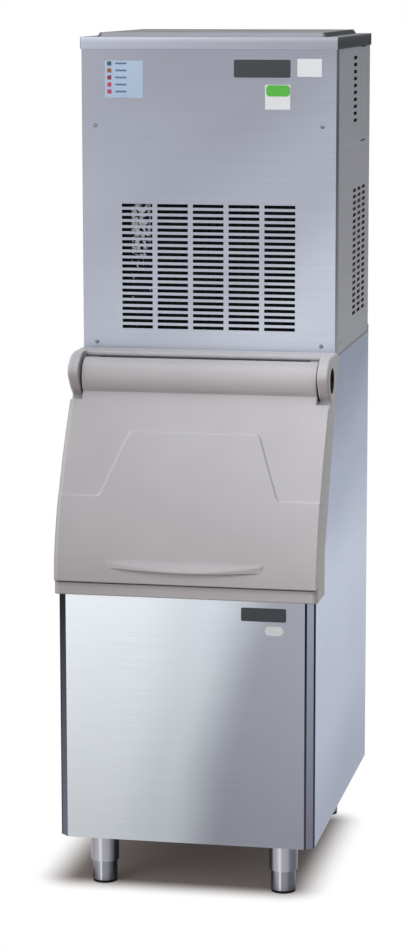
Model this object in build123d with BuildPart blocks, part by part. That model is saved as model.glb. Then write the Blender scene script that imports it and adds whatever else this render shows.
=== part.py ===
from build123d import *
import os
from math import hypot

# Nugget ice machine on a storage bin, in millimetres.
# X runs to the right, Y to the back and Z up; the origin is on the floor, under the middle.

# Cabinet
width = 560.0
leg_height = 122.0
bin_height = 1034.0
bin_depth = 788.0
sheet = 1.2
corner_bevel = 18.0
foam_wall = 40.0
liner_wall = 3.0
deck_thickness = 1.5
floor_foam = 42.0
ceiling_foam = 28.0
drain_drop = 24.0

# Machine head
head_height = 686.0
head_setback = 262.0
rear_ledge = 12.0
lid_skirt = 26.0
lid_overhang = 3.0
lid_raise = 9.0
lid_margin = 30.0
pan_rim = 16.0
front_return = 40.0
panel_flange = 12.0
screw_radius = 2.0
screw_inset = 30.0
screw_heights = (22.0, 496.0)
lens_inset = 62.0
lens_drop = 57.0
lens_pitch = 15.1
lens_count = 5
lens_size = 9.0
knock_size = (96.0, 212.0)
knock_inset = (105.0, 133.0)

# Ventilation slots
front_slot = (68.0, 7.2)
front_slot_pitch = (79.0, 13.3)
front_slot_count = (5, 21)
front_slot_low = 53.0
side_slot = (48.0, 7.6)
side_slot_pitch = (71.0, 13.8)
side_slot_count = (3, 21)
side_slot_low = 65.0
side_slot_rear = 90.0
upper_slot = (50.0, 7.5)
upper_slot_pitch = 15.4
upper_slot_count = 10
upper_slot_rear = 229.0
upper_slot_top = 50.0

# Moulded hood, door and hinge
hood_width = 572.0
sill_height = 542.0
sill_band = 26.0
sill_reach = 6.0
jamb_side = 52.0
edge_reach = 283.0
knee_place = (97.0, 92.0)
hinge_setback = 187.0
hinge_drop = 43.0
hood_rise = 9.0
hood_gap = 0.4
roll_radius = 40.0
roll_clearance = 3.5
cheek_thickness = 24.0
cheek_gap = 4.0
cheek_round = 5.0
shoulder_radius = 61.0
door_bulge = 14.0
neck_place = (28.0, 28.0)
face_upper = (85.0, 128.0)
face_lower = (2.0, 133.0)
door_thickness = 26.0
door_gap = 0.6
sill_gap = 4.0
edge_round = 10.0
door_wall = 4.0
door_rim = 30.0
emboss = 3.0
hump_height = 180.0
hump_rise = 130.0
hump_foot = 194.0
hump_top = 142.0
hump_round = 12.0
lip_length = 338.0
lip_reach = 8.0
lip_sink = 2.0
lip_heights = (27.0, 32.0)
lip_swell = (8.0, 7.0)
pin_radius = 14.0
pin_cap_radius = 28.0
pin_cap_thickness = 5.0
pin_recess = 9.0
running_gap = 0.06
roll_end = 20.0

# Legs and feet
leg_inset = (80.0, 90.0)
leg_radius = 31.0
leg_wall = 3.0
leg_tube_end = 50.0
foot_radius = 27.5
foot_stem_radius = 8.0
pad_height = 6.0
foot_cover = 25.0

# Machinery in the head
condenser_size = (380.0, 44.0, 286.0)
condenser_gap = 14.0
condenser_low = 38.0
shroud_depth = 30.0
fan_radius = 125.0
fan_blade_count = 5
motor_radius = 42.0
motor_length = 78.0
barrel_inset = (130.0, 119.0)
barrel_radius = 38.0
barrel_wall = 4.0
barrel_low = 152.0
barrel_height = 290.0
auger_pitch = 72.0
auger_root = 15.0
auger_clearance = 0.5
jacket_radius = 64.0
compressor_gap = 12.0
compressor_inset = 134.0
compressor_radius = 82.0
compressor_height = 190.0
chute_size = (96.0, 110.0)
chute_wall = 2.5
chute_reach = 132.0
sensor_size = (10.0, 26.0, 34.0)
tank_size = (110.0, 90.0, 96.0)
control_box_size = (190.0, 92.0, 210.0)
fitting_reach = 18.0
fitting_collar = (5.0, 2.0)
inlet_radius = 13.2
drain_radius = 10.0

# Places worked out from the sizes above
lip_front = door_bulge + lip_reach
head_depth = bin_depth - head_setback - rear_ledge
rear_reach = max(bin_depth, bin_depth - rear_ledge + fitting_reach)
front = (lip_front - rear_reach) / 2
rear = front + bin_depth
bin_top = leg_height + bin_height
head_top = bin_top + head_height
head_front = front + head_setback
head_rear = head_front + head_depth
half = width / 2
hood_half = hood_width / 2
sill_low = leg_height + sill_height
sill_top = sill_low + sill_band
hinge_y = front + hinge_setback
hinge_z = bin_top - hinge_drop
cheek_inner = hood_half - cheek_thickness
roll_half = cheek_inner - cheek_gap
jamb_inner = hood_half - jamb_side
cavity_half = half - foam_wall - liner_wall
cavity_front = front + foam_wall + liner_wall
cavity_rear = rear - foam_wall - liner_wall
cavity_low = leg_height + floor_foam + liner_wall
cavity_high = bin_top - ceiling_foam - liner_wall
barrel_x = half - barrel_inset[0]
barrel_y = head_rear - barrel_inset[1]
chute_x = barrel_x - chute_reach
chute_y = barrel_y

os.makedirs("parts", exist_ok=True)


def parallel(points, depth):
    """Move an open outline sideways by depth, to its left, keeping its legs parallel."""
    moved = []
    for i, (a, b) in enumerate(points):
        legs = []
        if i > 0:
            legs.append((a - points[i - 1][0], b - points[i - 1][1]))
        if i < len(points) - 1:
            legs.append((points[i + 1][0] - a, points[i + 1][1] - b))
        normals = [(-v / hypot(u, v), u / hypot(u, v)) for u, v in legs]
        na = sum(n[0] for n in normals) / len(normals)
        nb = sum(n[1] for n in normals) / len(normals)
        scale = depth / (na * na + nb * nb)
        moved.append((a + na * scale, b + nb * scale))
    return moved


def cabinet_plan(inset, back):
    """Corner points of the cabinet's plan, bevelled at the front, moved inwards by inset."""
    bevel = corner_bevel + inset * 0.586
    side = half - inset
    face = front + inset
    nose = half - bevel
    return [(-side, back), (-side, front + bevel), (-nose, face), (nose, face), (side, front + bevel),
            (side, back)]


# The door's face, seen from the side: from the neck under the roll down to the lower edge.
door_low = sill_top + sill_gap
face_points = [
    (hinge_y - neck_place[0], hinge_z - neck_place[1]),
    (front + face_upper[0], hinge_z - face_upper[1]),
    (front - door_bulge - face_lower[0], door_low + face_lower[1]),
    (front - door_bulge, door_low),
]


def face_curve(depth):
    """The face's line moved to the back by depth."""
    return parallel(face_points, depth)


# The line where the moulded hood meets the cabinet's sides, from the deck down to the sill.
edge_top = (front + edge_reach, bin_top)
edge_knee = (front + knee_place[0], sill_low + knee_place[1])
edge_foot = (front + knee_place[0], sill_low)
bar_drop = roll_radius / 2
edge_slope = (edge_top[0] - edge_knee[0]) / (edge_top[1] - edge_knee[1])
edge_bar = (edge_top[0] - bar_drop * edge_slope, bin_top - bar_drop)

with BuildSketch(Plane.YZ) as mouth_profile:
    with BuildLine():
        Polyline(edge_top, edge_knee, edge_foot, (front - 60, sill_low), (front - 60, bin_top + 60),
                 (edge_top[0], bin_top + 60), close=True)
    make_face()

# Storage bin

# Folded stainless wrapper: front, bevelled corners and both sides in one sheet.
with BuildPart() as bin_shell:
    with BuildSketch(Plane.XY.offset(leg_height)):
        with BuildLine():
            Polyline(*cabinet_plan(0, rear - sheet), close=True)
        make_face()
        with BuildLine():
            Polyline(*cabinet_plan(sheet, rear + sheet), close=True)
        make_face(mode=Mode.SUBTRACT)
    extrude(amount=bin_height - deck_thickness)
    extrude(mouth_profile.sketch, amount=width, both=True, mode=Mode.SUBTRACT)
bin_shell.part.label = "bin_shell"
export_step(bin_shell.part, "parts/bin_shell.step")

# Flat steel back with flanges turned in behind the wrapper.
with BuildPart() as bin_rear_panel:
    with BuildSketch(Plane.XZ.offset(-rear)):
        with Locations((0, leg_height + (bin_height - deck_thickness) / 2)):
            Rectangle(width, bin_height - deck_thickness)
    extrude(amount=sheet)
bin_rear_panel.part.label = "bin_rear_panel"
export_step(bin_rear_panel.part, "parts/bin_rear_panel.step")

bin_drain_y = cavity_rear - 70
with BuildPart() as bin_bottom_panel:
    with BuildSketch(Plane.XY.offset(leg_height)):
        with BuildLine():
            Polyline(*cabinet_plan(sheet, rear - sheet), close=True)
        make_face()
        with Locations((0, bin_drain_y)):
            Circle(drain_radius + 6, mode=Mode.SUBTRACT)
    extrude(amount=sheet)
bin_bottom_panel.part.label = "bin_bottom_panel"
export_step(bin_bottom_panel.part, "parts/bin_bottom_panel.step")

drop_size = (chute_size[0] + 24, chute_size[1] + 24)
liner_x = cavity_half + liner_wall
liner_y = (cavity_front - liner_wall, cavity_rear + liner_wall)

# One-piece plastic tub with a ceiling, open at the mouth and under the chute.
with BuildPart() as bin_liner:
    with BuildSketch(Plane.XY.offset(cavity_low - liner_wall)):
        with Locations((0, (liner_y[0] + liner_y[1]) / 2)):
            RectangleRounded(2 * liner_x, liner_y[1] - liner_y[0], 30)
    extrude(amount=cavity_high - cavity_low + 2 * liner_wall)
    with BuildSketch(Plane.XY.offset(cavity_low)):
        with Locations((0, (cavity_front + cavity_rear) / 2)):
            RectangleRounded(2 * cavity_half, cavity_rear - cavity_front, 30 - liner_wall)
    extrude(amount=cavity_high - cavity_low, mode=Mode.SUBTRACT)
    with BuildSketch(Plane.XY.offset(cavity_high - 1)):
        with Locations((chute_x, chute_y)):
            Rectangle(*drop_size)
    extrude(amount=liner_wall + 2, mode=Mode.SUBTRACT)
    with BuildSketch(Plane.XY.offset(cavity_low - liner_wall - 1)):
        with Locations((0, bin_drain_y)):
            Circle(drain_radius)
    extrude(amount=liner_wall + 2, mode=Mode.SUBTRACT)
    extrude(mouth_profile.sketch, amount=width, both=True, mode=Mode.SUBTRACT)
bin_liner.part.label = "bin_liner"
export_step(bin_liner.part, "parts/bin_liner.step")

# Foamed-in insulation between the liner and the steel.
with BuildPart() as bin_foam:
    with BuildSketch(Plane.XY.offset(leg_height + sheet)):
        with BuildLine():
            Polyline(*cabinet_plan(sheet, rear - sheet), close=True)
        make_face()
    extrude(amount=bin_height - deck_thickness - sheet)
    with BuildSketch(Plane.XY.offset(cavity_low - liner_wall)):
        with Locations((0, (liner_y[0] + liner_y[1]) / 2)):
            RectangleRounded(2 * liner_x, liner_y[1] - liner_y[0], 30)
    extrude(amount=cavity_high - cavity_low + 2 * liner_wall, mode=Mode.SUBTRACT)
    with BuildSketch(Plane.XY.offset(cavity_high)):
        with Locations((chute_x, chute_y)):
            Rectangle(*drop_size)
    extrude(amount=ceiling_foam + liner_wall, mode=Mode.SUBTRACT)
    with BuildSketch(Plane.XY.offset(leg_height)):
        with Locations((0, bin_drain_y)):
            Circle(drain_radius)
    extrude(amount=floor_foam, mode=Mode.SUBTRACT)
    extrude(mouth_profile.sketch, amount=width, both=True, mode=Mode.SUBTRACT)
bin_foam.part.label = "bin_foam"
export_step(bin_foam.part, "parts/bin_foam.step")

# Stainless deck that the head stands on, with the ice drop opening.
with BuildPart() as bin_top_deck:
    with BuildSketch(Plane.XY.offset(bin_top - deck_thickness)):
        with Locations((0, (edge_top[0] + rear) / 2)):
            Rectangle(width, rear - edge_top[0])
        with Locations((chute_x, chute_y)):
            Rectangle(*drop_size, mode=Mode.SUBTRACT)
    extrude(amount=deck_thickness)
bin_top_deck.part.label = "bin_top_deck"
export_step(bin_top_deck.part, "parts/bin_top_deck.step")

# Black moulded strip on the ledge behind the head.
with BuildPart() as rear_trim:
    with BuildSketch(Plane.YZ.offset(-half)):
        with BuildLine():
            Polyline((head_rear + 0.5, bin_top), (head_rear + 0.5, bin_top + 4), (rear - 5, bin_top + 11),
                     (rear, bin_top + 9), (rear, bin_top), close=True)
        make_face()
    extrude(amount=width)
rear_trim.part.label = "rear_trim"
export_step(rear_trim.part, "parts/rear_trim.step")

with BuildPart() as bin_drain_fitting:
    with BuildSketch(Plane.XY.offset(cavity_low - liner_wall)):
        with Locations((0, bin_drain_y)):
            Circle(drain_radius)
            Circle(drain_radius - 3, mode=Mode.SUBTRACT)
    extrude(amount=-(floor_foam + drain_drop))
    with BuildSketch(Plane.XY.offset(leg_height)):
        with Locations((0, bin_drain_y)):
            Circle(drain_radius + 9)
            Circle(drain_radius, mode=Mode.SUBTRACT)
    extrude(amount=-4)
bin_drain_fitting.part.label = "bin_drain_fitting"
export_step(bin_drain_fitting.part, "parts/bin_drain_fitting.step")

# Moulded hood: two cheeks, the bar over the roll, the jambs and the sill in one piece
bar_nose_run = 0.2 * roll_radius
nose_y = hinge_y + 0.55 * roll_radius
hood_top = bin_top + hood_rise
jamb_line = face_curve(door_thickness + door_gap)
with BuildSketch(Plane.YZ) as jamb_profile:
    with BuildLine():
        Bezier(*jamb_line)
        Polyline(jamb_line[-1], (jamb_line[-1][0], sill_top), (front - sill_reach, sill_top),
                 (front - sill_reach, sill_low), edge_foot, edge_knee, edge_top,
                 (nose_y + bar_nose_run, bin_top), jamb_line[0])
    make_face()

with BuildSketch(Plane.YZ) as cheek_profile:
    with BuildLine():
        crown = Line((head_front - hood_gap, hood_top), (hinge_y + 0.3 * roll_radius, hood_top))
        chin = Spline(
            crown @ 1,
            (hinge_y - 0.8 * roll_radius, hinge_z + 1.05 * roll_radius),
            (hinge_y - 1.425 * roll_radius, hinge_z + 0.35 * roll_radius),
            (hinge_y - 1.1 * roll_radius, hinge_z - 0.3 * roll_radius),
            (hinge_y - 0.5 * roll_radius, hinge_z - 0.9 * roll_radius),
            (hinge_y - 0.275 * roll_radius, hinge_z - 1.35 * roll_radius),
            tangents=((-1, 0), (0.05, -1)),
        )
        Polyline(chin @ 1, (hinge_y + 0.3 * roll_radius, hinge_z - 1.35 * roll_radius), edge_top,
                 (head_front - hood_gap, bin_top), crown @ 0)
    make_face()

with BuildSketch(Plane.YZ) as bar_profile:
    with BuildLine():
        bar_top = Line((head_front - hood_gap, hood_top), (nose_y + bar_nose_run, hood_top))
        bar_nose = Spline(
            bar_top @ 1,
            (nose_y, hood_top - 0.15 * roll_radius),
            (nose_y + 0.075 * roll_radius, hinge_z + 1.025 * roll_radius),
            tangents=((-1, 0), (1, -0.3)),
        )
        Polyline(bar_nose @ 1, (head_front - 0.3 * roll_radius, hinge_z + 0.6 * roll_radius), edge_bar,
                 edge_top, (head_front - hood_gap, bin_top), bar_top @ 0)
    make_face()
    with Locations((hinge_y, hinge_z)):
        Circle(roll_radius + roll_clearance, mode=Mode.SUBTRACT)

with BuildSketch(Plane.YZ) as window_profile:
    with BuildLine():
        Polyline((front - 60, sill_top + 0.01), (front + 30, sill_top + 0.01), (front + 120, sill_top + 26),
                 (rear, sill_top + 26), (rear, bin_top + 50), (front - 60, bin_top + 50), close=True)
    make_face()

with BuildPart() as cheek:
    with BuildSketch(Plane.YZ.offset(cheek_inner)):
        add(cheek_profile.sketch_local)
    extrude(amount=cheek_thickness)
    chin_edges = [e for e in cheek.edges() if e.geom_type != GeomType.LINE and e.center().X > hood_half - 1]
    fillet(chin_edges, cheek_round)

with BuildPart() as hood_frame:
    extrude(jamb_profile.sketch, amount=hood_half, both=True)
    sill_edges = hood_frame.edges().filter_by(Axis.Z).sort_by(Axis.Y)[:2]
    fillet(sill_edges, edge_round)
    extrude(window_profile.sketch, amount=jamb_inner, both=True, mode=Mode.SUBTRACT)
    with BuildSketch(Plane.YZ):
        with Locations((hinge_y, hinge_z)):
            Circle(roll_radius + roll_clearance)
    extrude(amount=cheek_inner, both=True, mode=Mode.SUBTRACT)
    add(cheek.part)
    add(cheek.part.mirror(Plane.YZ))
    with BuildSketch(Plane.YZ.offset(-cheek_inner)):
        add(bar_profile.sketch_local)
    extrude(amount=2 * cheek_inner)
    with Locations((hood_half, hinge_y, hinge_z), (-hood_half, hinge_y, hinge_z)):
        Cylinder(pin_cap_radius, 2 * (pin_cap_thickness + pin_recess), rotation=(0, 90, 0),
                 mode=Mode.SUBTRACT)
    with Locations((0, hinge_y, hinge_z)):
        Cylinder(pin_radius, 2 * hood_width, rotation=(0, 90, 0), mode=Mode.SUBTRACT)
hood_frame.part.label = "hood_frame"
export_step(hood_frame.part, "parts/hood_frame.step")

# Black plastic pins, pushed into the cheeks from outside, that carry the door's roll.
for name, side in (("hinge_pin_right", 1), ("hinge_pin_left", -1)):
    with BuildPart() as hinge_pin:
        with BuildSketch(Plane.YZ.offset(side * (hood_half - pin_recess))):
            with Locations((hinge_y, hinge_z)):
                Circle(pin_cap_radius)
        extrude(amount=-side * pin_cap_thickness)
        with BuildSketch(Plane.YZ.offset(side * (hood_half - pin_recess - pin_cap_thickness))):
            with Locations((hinge_y, hinge_z)):
                Circle(pin_radius)
        extrude(amount=-side * (cheek_thickness - pin_recess - pin_cap_thickness + cheek_gap + 16))
    hinge_pin.part.label = name
    export_step(hinge_pin.part, f"parts/{name}.step")

# Tilt-up door

# The face's lower field stands proud under a line that humps up in the middle.
with BuildSketch(Plane.XZ) as proud_field:
    with BuildLine():
        crease = FilletPolyline(
            (-hood_width, door_low + hump_height),
            (-hump_foot, door_low + hump_height),
            (-hump_top, door_low + hump_height + hump_rise),
            (hump_top, door_low + hump_height + hump_rise),
            (hump_foot, door_low + hump_height),
            (hood_width, door_low + hump_height),
            radius=hump_round,
        )
        Polyline(crease @ 1, (hood_width, leg_height), (-hood_width, leg_height), crease @ 0)
    make_face()


def door_profile(face_depth, back_depth):
    """Side section of the door between two depths under its face."""
    face = face_curve(face_depth)
    back = face_curve(back_depth)
    with BuildSketch(Plane.YZ) as profile:
        with BuildLine():
            Bezier(*face)
            Line(face[-1], back[-1])
            Bezier(*back)
            Line(back[0], face[0])
        make_face()
    return profile.sketch


def rounded_slab(face_depth, back_depth, reach):
    """The door's section extended to both sides, its long front edges rounded."""
    with BuildPart() as slab:
        extrude(door_profile(face_depth, back_depth), amount=reach, both=True)
        front_edges = [e for e in slab.edges() if e.geom_type != GeomType.LINE]
        front_edges = sorted(front_edges, key=lambda e: e.center().Y)[:2]
        fillet(front_edges, edge_round)
    return slab.part


with BuildPart() as proud_slab:
    add(rounded_slab(0, door_thickness, hood_half))
    extrude(proud_field.sketch, amount=600, both=True, mode=Mode.INTERSECT)

# Finger lip: the face swells forward to it and stops at a curved lower edge.
lip_root = 0.88
lip_depth = door_thickness / 2
lip_edge = (front - lip_front, door_low + lip_heights[0])
with BuildPart() as door_lip:
    with BuildSketch(Plane.YZ):
        with BuildLine(mode=Mode.PRIVATE):
            face_line = Bezier(*face_points)
        root = face_line @ lip_root
        fall = face_line % lip_root
        with BuildLine():
            swell = Bezier(root, root + fall * lip_swell[0], (lip_edge[0], lip_edge[1] + lip_swell[1]), lip_edge)
            Polyline(swell @ 1, (lip_edge[0], door_low + lip_heights[0] / 2),
                     (front - door_bulge + lip_depth, door_low + lip_heights[0] / 2),
                     (root.X + lip_depth, root.Y), swell @ 0)
        make_face()
    extrude(amount=lip_length / 2, both=True)
    with BuildSketch(Plane.XY.offset(door_low)):
        with BuildLine():
            tip_y = front - door_bulge + lip_sink
            crescent = ThreePointArc((-lip_length / 2, tip_y), (0, lip_edge[0]), (lip_length / 2, tip_y))
            Polyline(crescent @ 1, (lip_length / 2, front + 2 * lip_depth),
                     (-lip_length / 2, front + 2 * lip_depth), crescent @ 0)
        make_face()
    extrude(amount=hump_height, mode=Mode.INTERSECT)
    with BuildSketch(Plane.XZ):
        with BuildLine():
            edge = ThreePointArc((-lip_length / 2, door_low + lip_heights[1]), (0, lip_edge[1]),
                                 (lip_length / 2, door_low + lip_heights[1]))
            Polyline(edge @ 1, (lip_length / 2, bin_top), (-lip_length / 2, bin_top), edge @ 0)
        make_face()
    extrude(amount=bin_depth, both=True, mode=Mode.INTERSECT)

# The hollow in the door's back, between its rims, up to the neck and down to the lower edge.
with BuildPart() as door_hollow:
    extrude(door_profile(emboss + door_wall, door_thickness + 4), amount=hood_half - door_rim, both=True)
    with BuildSketch(Plane.YZ):
        with Locations((hinge_y, hinge_z)):
            Circle(roll_radius + 14)
    extrude(amount=width, both=True, mode=Mode.SUBTRACT)
    with BuildSketch(Plane.XY.offset(door_low - 60)):
        Rectangle(2 * width, 2 * bin_depth)
    extrude(amount=60 + 2 * door_wall, mode=Mode.SUBTRACT)

# Moulded door: face, rims, shoulders under the cheeks, finger lip and the hollow roll it turns on.
with BuildPart() as door_shell:
    add(rounded_slab(emboss, door_thickness, hood_half))
    add(proud_slab.part)
    with BuildSketch(Plane.YZ):
        with Locations((hinge_y, hinge_z)):
            Circle(shoulder_radius)
    extrude(amount=width, both=True, mode=Mode.SUBTRACT)
    extrude(door_profile(emboss, door_thickness), amount=roll_half, both=True)
    with BuildSketch(Plane.YZ):
        with Locations((hinge_y, hinge_z)):
            Circle(roll_radius)
    extrude(amount=roll_half, both=True)
    add(door_lip.part)
    add(door_hollow.part, mode=Mode.SUBTRACT)
    with BuildSketch(Plane.YZ):
        with Locations((hinge_y, hinge_z)):
            Circle(roll_radius - 5)
    extrude(amount=roll_half - roll_end, both=True, mode=Mode.SUBTRACT)
    with BuildSketch(Plane.YZ):
        with Locations((hinge_y, hinge_z)):
            Circle(pin_radius + running_gap)
    extrude(amount=width, both=True, mode=Mode.SUBTRACT)
door_shell.part.label = "door_shell"
export_step(door_shell.part, "parts/door_shell.step")

# Inner sheet, pressed into the hollow flush with the rims.
with BuildPart() as door_inner_panel:
    extrude(door_profile(door_thickness - door_wall, door_thickness), amount=width, both=True)
    add(door_hollow.part, mode=Mode.INTERSECT)
door_inner_panel.part.label = "door_inner_panel"
export_step(door_inner_panel.part, "parts/door_inner_panel.step")

# Legs and levelling feet
corners = {
    "front_left": (leg_inset[0] - half, front + leg_inset[1]),
    "front_right": (half - leg_inset[0], front + leg_inset[1]),
    "rear_left": (leg_inset[0] - half, rear - leg_inset[1]),
    "rear_right": (half - leg_inset[0], rear - leg_inset[1]),
}
plug_low = leg_tube_end + foot_cover + 7
for corner, place in corners.items():
    # Stainless tube under the cabinet with a tapped plug in its upper half.
    with BuildPart() as leg:
        with BuildSketch(Plane.XY.offset(leg_tube_end)):
            with Locations(place):
                Circle(leg_radius)
                Circle(leg_radius - leg_wall, mode=Mode.SUBTRACT)
        extrude(amount=leg_height - leg_tube_end)
        with BuildSketch(Plane.XY.offset(plug_low)):
            with Locations(place):
                Circle(leg_radius - leg_wall)
                Circle(foot_stem_radius + running_gap, mode=Mode.SUBTRACT)
        extrude(amount=leg_height - plug_low)
    leg.part.label = f"leg_{corner}"
    export_step(leg.part, f"parts/leg_{corner}.step")

    # Foot: a turned cup that slides up inside the tube, on a screwed stem.
    with BuildPart() as foot:
        with BuildSketch(Plane.XY.offset(pad_height)):
            with Locations(place):
                Circle(foot_radius)
        extrude(amount=leg_tube_end + foot_cover - pad_height)
        with BuildSketch(Plane.XY.offset(pad_height + 10)):
            with Locations(place):
                Circle(foot_radius - leg_wall)
        extrude(amount=leg_tube_end + foot_cover, mode=Mode.SUBTRACT)
        with BuildSketch(Plane.XY.offset(pad_height)):
            with Locations(place):
                Circle(foot_stem_radius)
        extrude(amount=leg_height - pad_height - 4)
    foot.part.label = f"foot_{corner}"
    export_step(foot.part, f"parts/foot_{corner}.step")

    with BuildPart() as pad:
        with BuildSketch(Plane.XY):
            with Locations(place):
                Circle(foot_radius - 1)
        extrude(amount=pad_height)
    pad.part.label = f"pad_{corner}"
    export_step(pad.part, f"parts/pad_{corner}.step")

# Machine head casing
panel_top = head_top - sheet
panel_height = panel_top - bin_top
post_size = 44.0

# Base pan with turned-up rims.
with BuildPart() as head_base_pan:
    with BuildSketch(Plane.XY.offset(bin_top)):
        with Locations((0, (head_front + head_rear) / 2)):
            Rectangle(width - 2 * sheet, head_depth - 2 * sheet)
    extrude(amount=pan_rim)
    with BuildSketch(Plane.XY.offset(bin_top + deck_thickness)):
        with Locations((0, (head_front + head_rear) / 2)):
            Rectangle(width - 2 * (sheet + deck_thickness), head_depth - 2 * (sheet + deck_thickness))
    extrude(amount=pan_rim, mode=Mode.SUBTRACT)
    with BuildSketch(Plane.XY.offset(bin_top)):
        with Locations((chute_x, chute_y)):
            Rectangle(chute_size[0] + 2 * chute_wall, chute_size[1] + 2 * chute_wall)
    extrude(amount=pan_rim, mode=Mode.SUBTRACT)
head_base_pan.part.label = "head_base_pan"
export_step(head_base_pan.part, "parts/head_base_pan.step")

# Front panel, folded back round both corners, with five columns of slots.
screw_places = [(side * (half - screw_inset), bin_top + z) for side in (-1, 1) for z in screw_heights]
lens_x = lens_inset - half
lens_places = [(lens_x, head_top - lens_drop - lens_pitch * i) for i in range(lens_count)]
slot_mid = bin_top + front_slot_low + ((front_slot_count[1] - 1) * front_slot_pitch[1] + front_slot[1]) / 2
with BuildPart() as head_front_panel:
    with BuildSketch(Plane.XY.offset(bin_top)):
        with Locations((0, head_front + front_return / 2)):
            Rectangle(width, front_return)
        with Locations((0, head_front + sheet + front_return / 2)):
            Rectangle(width - 2 * sheet, front_return, mode=Mode.SUBTRACT)
    extrude(amount=panel_height)
    with BuildSketch(Plane.XZ.offset(-head_front - sheet)):
        with Locations((0, slot_mid)):
            with GridLocations(*front_slot_pitch, *front_slot_count):
                Rectangle(*front_slot)
        with Locations(*screw_places):
            Circle(screw_radius)
        with Locations(*lens_places):
            Rectangle(lens_size, lens_size)
    extrude(amount=sheet, mode=Mode.SUBTRACT)
head_front_panel.part.label = "head_front_panel"
export_step(head_front_panel.part, "parts/head_front_panel.step")

side_front = head_front + front_return + 1
side_mid = (side_front + head_rear) / 2

# Left side panel, plain, with a stiffening flange turned in at its front edge.
with BuildPart() as head_left_panel:
    with BuildSketch(Plane.YZ.offset(-half)):
        with Locations((side_mid, bin_top + panel_height / 2)):
            Rectangle(head_rear - side_front, panel_height)
    extrude(amount=sheet)
    with BuildSketch(Plane.YZ.offset(-half + sheet)):
        with Locations((side_front + sheet / 2, bin_top + pan_rim + 5 + (panel_height - pan_rim - 5) / 2)):
            Rectangle(sheet, panel_height - pan_rim - 5)
    extrude(amount=panel_flange)
head_left_panel.part.label = "head_left_panel"
export_step(head_left_panel.part, "parts/head_left_panel.step")

# Right side panel: air outlet slots, an upper column and a knock-out held by four tabs.
column_y = head_rear - side_slot_rear - side_slot_pitch[0] * (side_slot_count[0] - 1) / 2
block_z = bin_top + side_slot_low + side_slot_pitch[1] * (side_slot_count[1] - 1) / 2
knock_place = (head_rear - knock_inset[0], head_top - knock_inset[1])
with BuildPart() as head_right_panel:
    with BuildSketch(Plane.YZ.offset(half - sheet)):
        with Locations((side_mid, bin_top + panel_height / 2)):
            Rectangle(head_rear - side_front, panel_height)
        with Locations((column_y, block_z)):
            with GridLocations(*side_slot_pitch, *side_slot_count):
                Rectangle(*side_slot, mode=Mode.SUBTRACT)
        upper_mid = head_top - upper_slot_top - upper_slot_pitch * (upper_slot_count - 1) / 2
        with Locations((head_rear - upper_slot_rear, upper_mid)):
            with GridLocations(upper_slot[0], upper_slot_pitch, 1, upper_slot_count):
                Rectangle(*upper_slot, mode=Mode.SUBTRACT)
        with Locations(knock_place):
            with GridLocations(1, knock_size[1], 1, 2):
                Rectangle(knock_size[0] - 20, 3, mode=Mode.SUBTRACT)
            with GridLocations(knock_size[0], 1, 2, 1):
                Rectangle(1.5, knock_size[1] - 20, mode=Mode.SUBTRACT)
        with Locations((side_front + 38, bin_top + screw_heights[0]),
                       (side_front + 38, bin_top + screw_heights[1]),
                       (head_rear - 26, bin_top + screw_heights[0])):
            Rectangle(4, 13, mode=Mode.SUBTRACT)
    extrude(amount=sheet)
    with BuildSketch(Plane.YZ.offset(half - sheet)):
        with Locations((side_front + sheet / 2, bin_top + pan_rim + 5 + (panel_height - pan_rim - 5) / 2)):
            Rectangle(sheet, panel_height - pan_rim - 5)
    extrude(amount=-panel_flange)
head_right_panel.part.label = "head_right_panel"
export_step(head_right_panel.part, "parts/head_right_panel.step")

# Rear panel between the sides, with the service openings.
inlet_place = (half - 90, bin_top + 70)
spigot_place = (half - 170, bin_top + 46)
gland_place = (90 - half, bin_top + 70)
gland_radius = 9.0
with BuildPart() as head_rear_panel:
    with BuildSketch(Plane.XZ.offset(-head_rear)):
        with Locations((0, bin_top + panel_height / 2)):
            Rectangle(width - 2 * sheet, panel_height)
        with Locations((0, bin_top + panel_height - 110)):
            with GridLocations(side_slot_pitch[0], side_slot_pitch[1], 3, 8):
                Rectangle(*side_slot, mode=Mode.SUBTRACT)
        with Locations(inlet_place):
            Circle(inlet_radius, mode=Mode.SUBTRACT)
        with Locations(spigot_place):
            Circle(drain_radius, mode=Mode.SUBTRACT)
        with Locations(gland_place):
            Circle(gland_radius, mode=Mode.SUBTRACT)
    extrude(amount=sheet)
head_rear_panel.part.label = "head_rear_panel"
export_step(head_rear_panel.part, "parts/head_rear_panel.step")

# Lid: a skirted tray turned upside down, with a pressed, raised field.
lid_mid = (head_front + head_rear) / 2
lid_plan = (width + 2 * lid_overhang, head_depth + 2 * lid_overhang)
field_plan = (lid_plan[0] - 2 * lid_margin, lid_plan[1] - 2 * lid_margin)
with BuildPart() as head_top_lid:
    with BuildSketch(Plane.XY.offset(head_top - lid_skirt)):
        with Locations((0, lid_mid)):
            RectangleRounded(*lid_plan, 4)
    extrude(amount=lid_skirt)
    with BuildSketch(Plane.XY.offset(head_top)):
        with Locations((0, lid_mid)):
            RectangleRounded(*field_plan, 12)
    extrude(amount=lid_raise, taper=35)
    with BuildSketch(Plane.XY.offset(head_top - lid_skirt)):
        with Locations((0, lid_mid)):
            Rectangle(lid_plan[0] - 2 * sheet, lid_plan[1] - 2 * sheet)
    extrude(amount=lid_skirt - sheet, mode=Mode.SUBTRACT)
    with BuildSketch(Plane.XY.offset(head_top - 2 * sheet)):
        with Locations((0, lid_mid)):
            RectangleRounded(field_plan[0] - 4 * sheet, field_plan[1] - 4 * sheet, 10)
    extrude(amount=lid_raise + sheet, taper=35, mode=Mode.SUBTRACT)
head_top_lid.part.label = "head_top_lid"
export_step(head_top_lid.part, "parts/head_top_lid.step")

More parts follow.
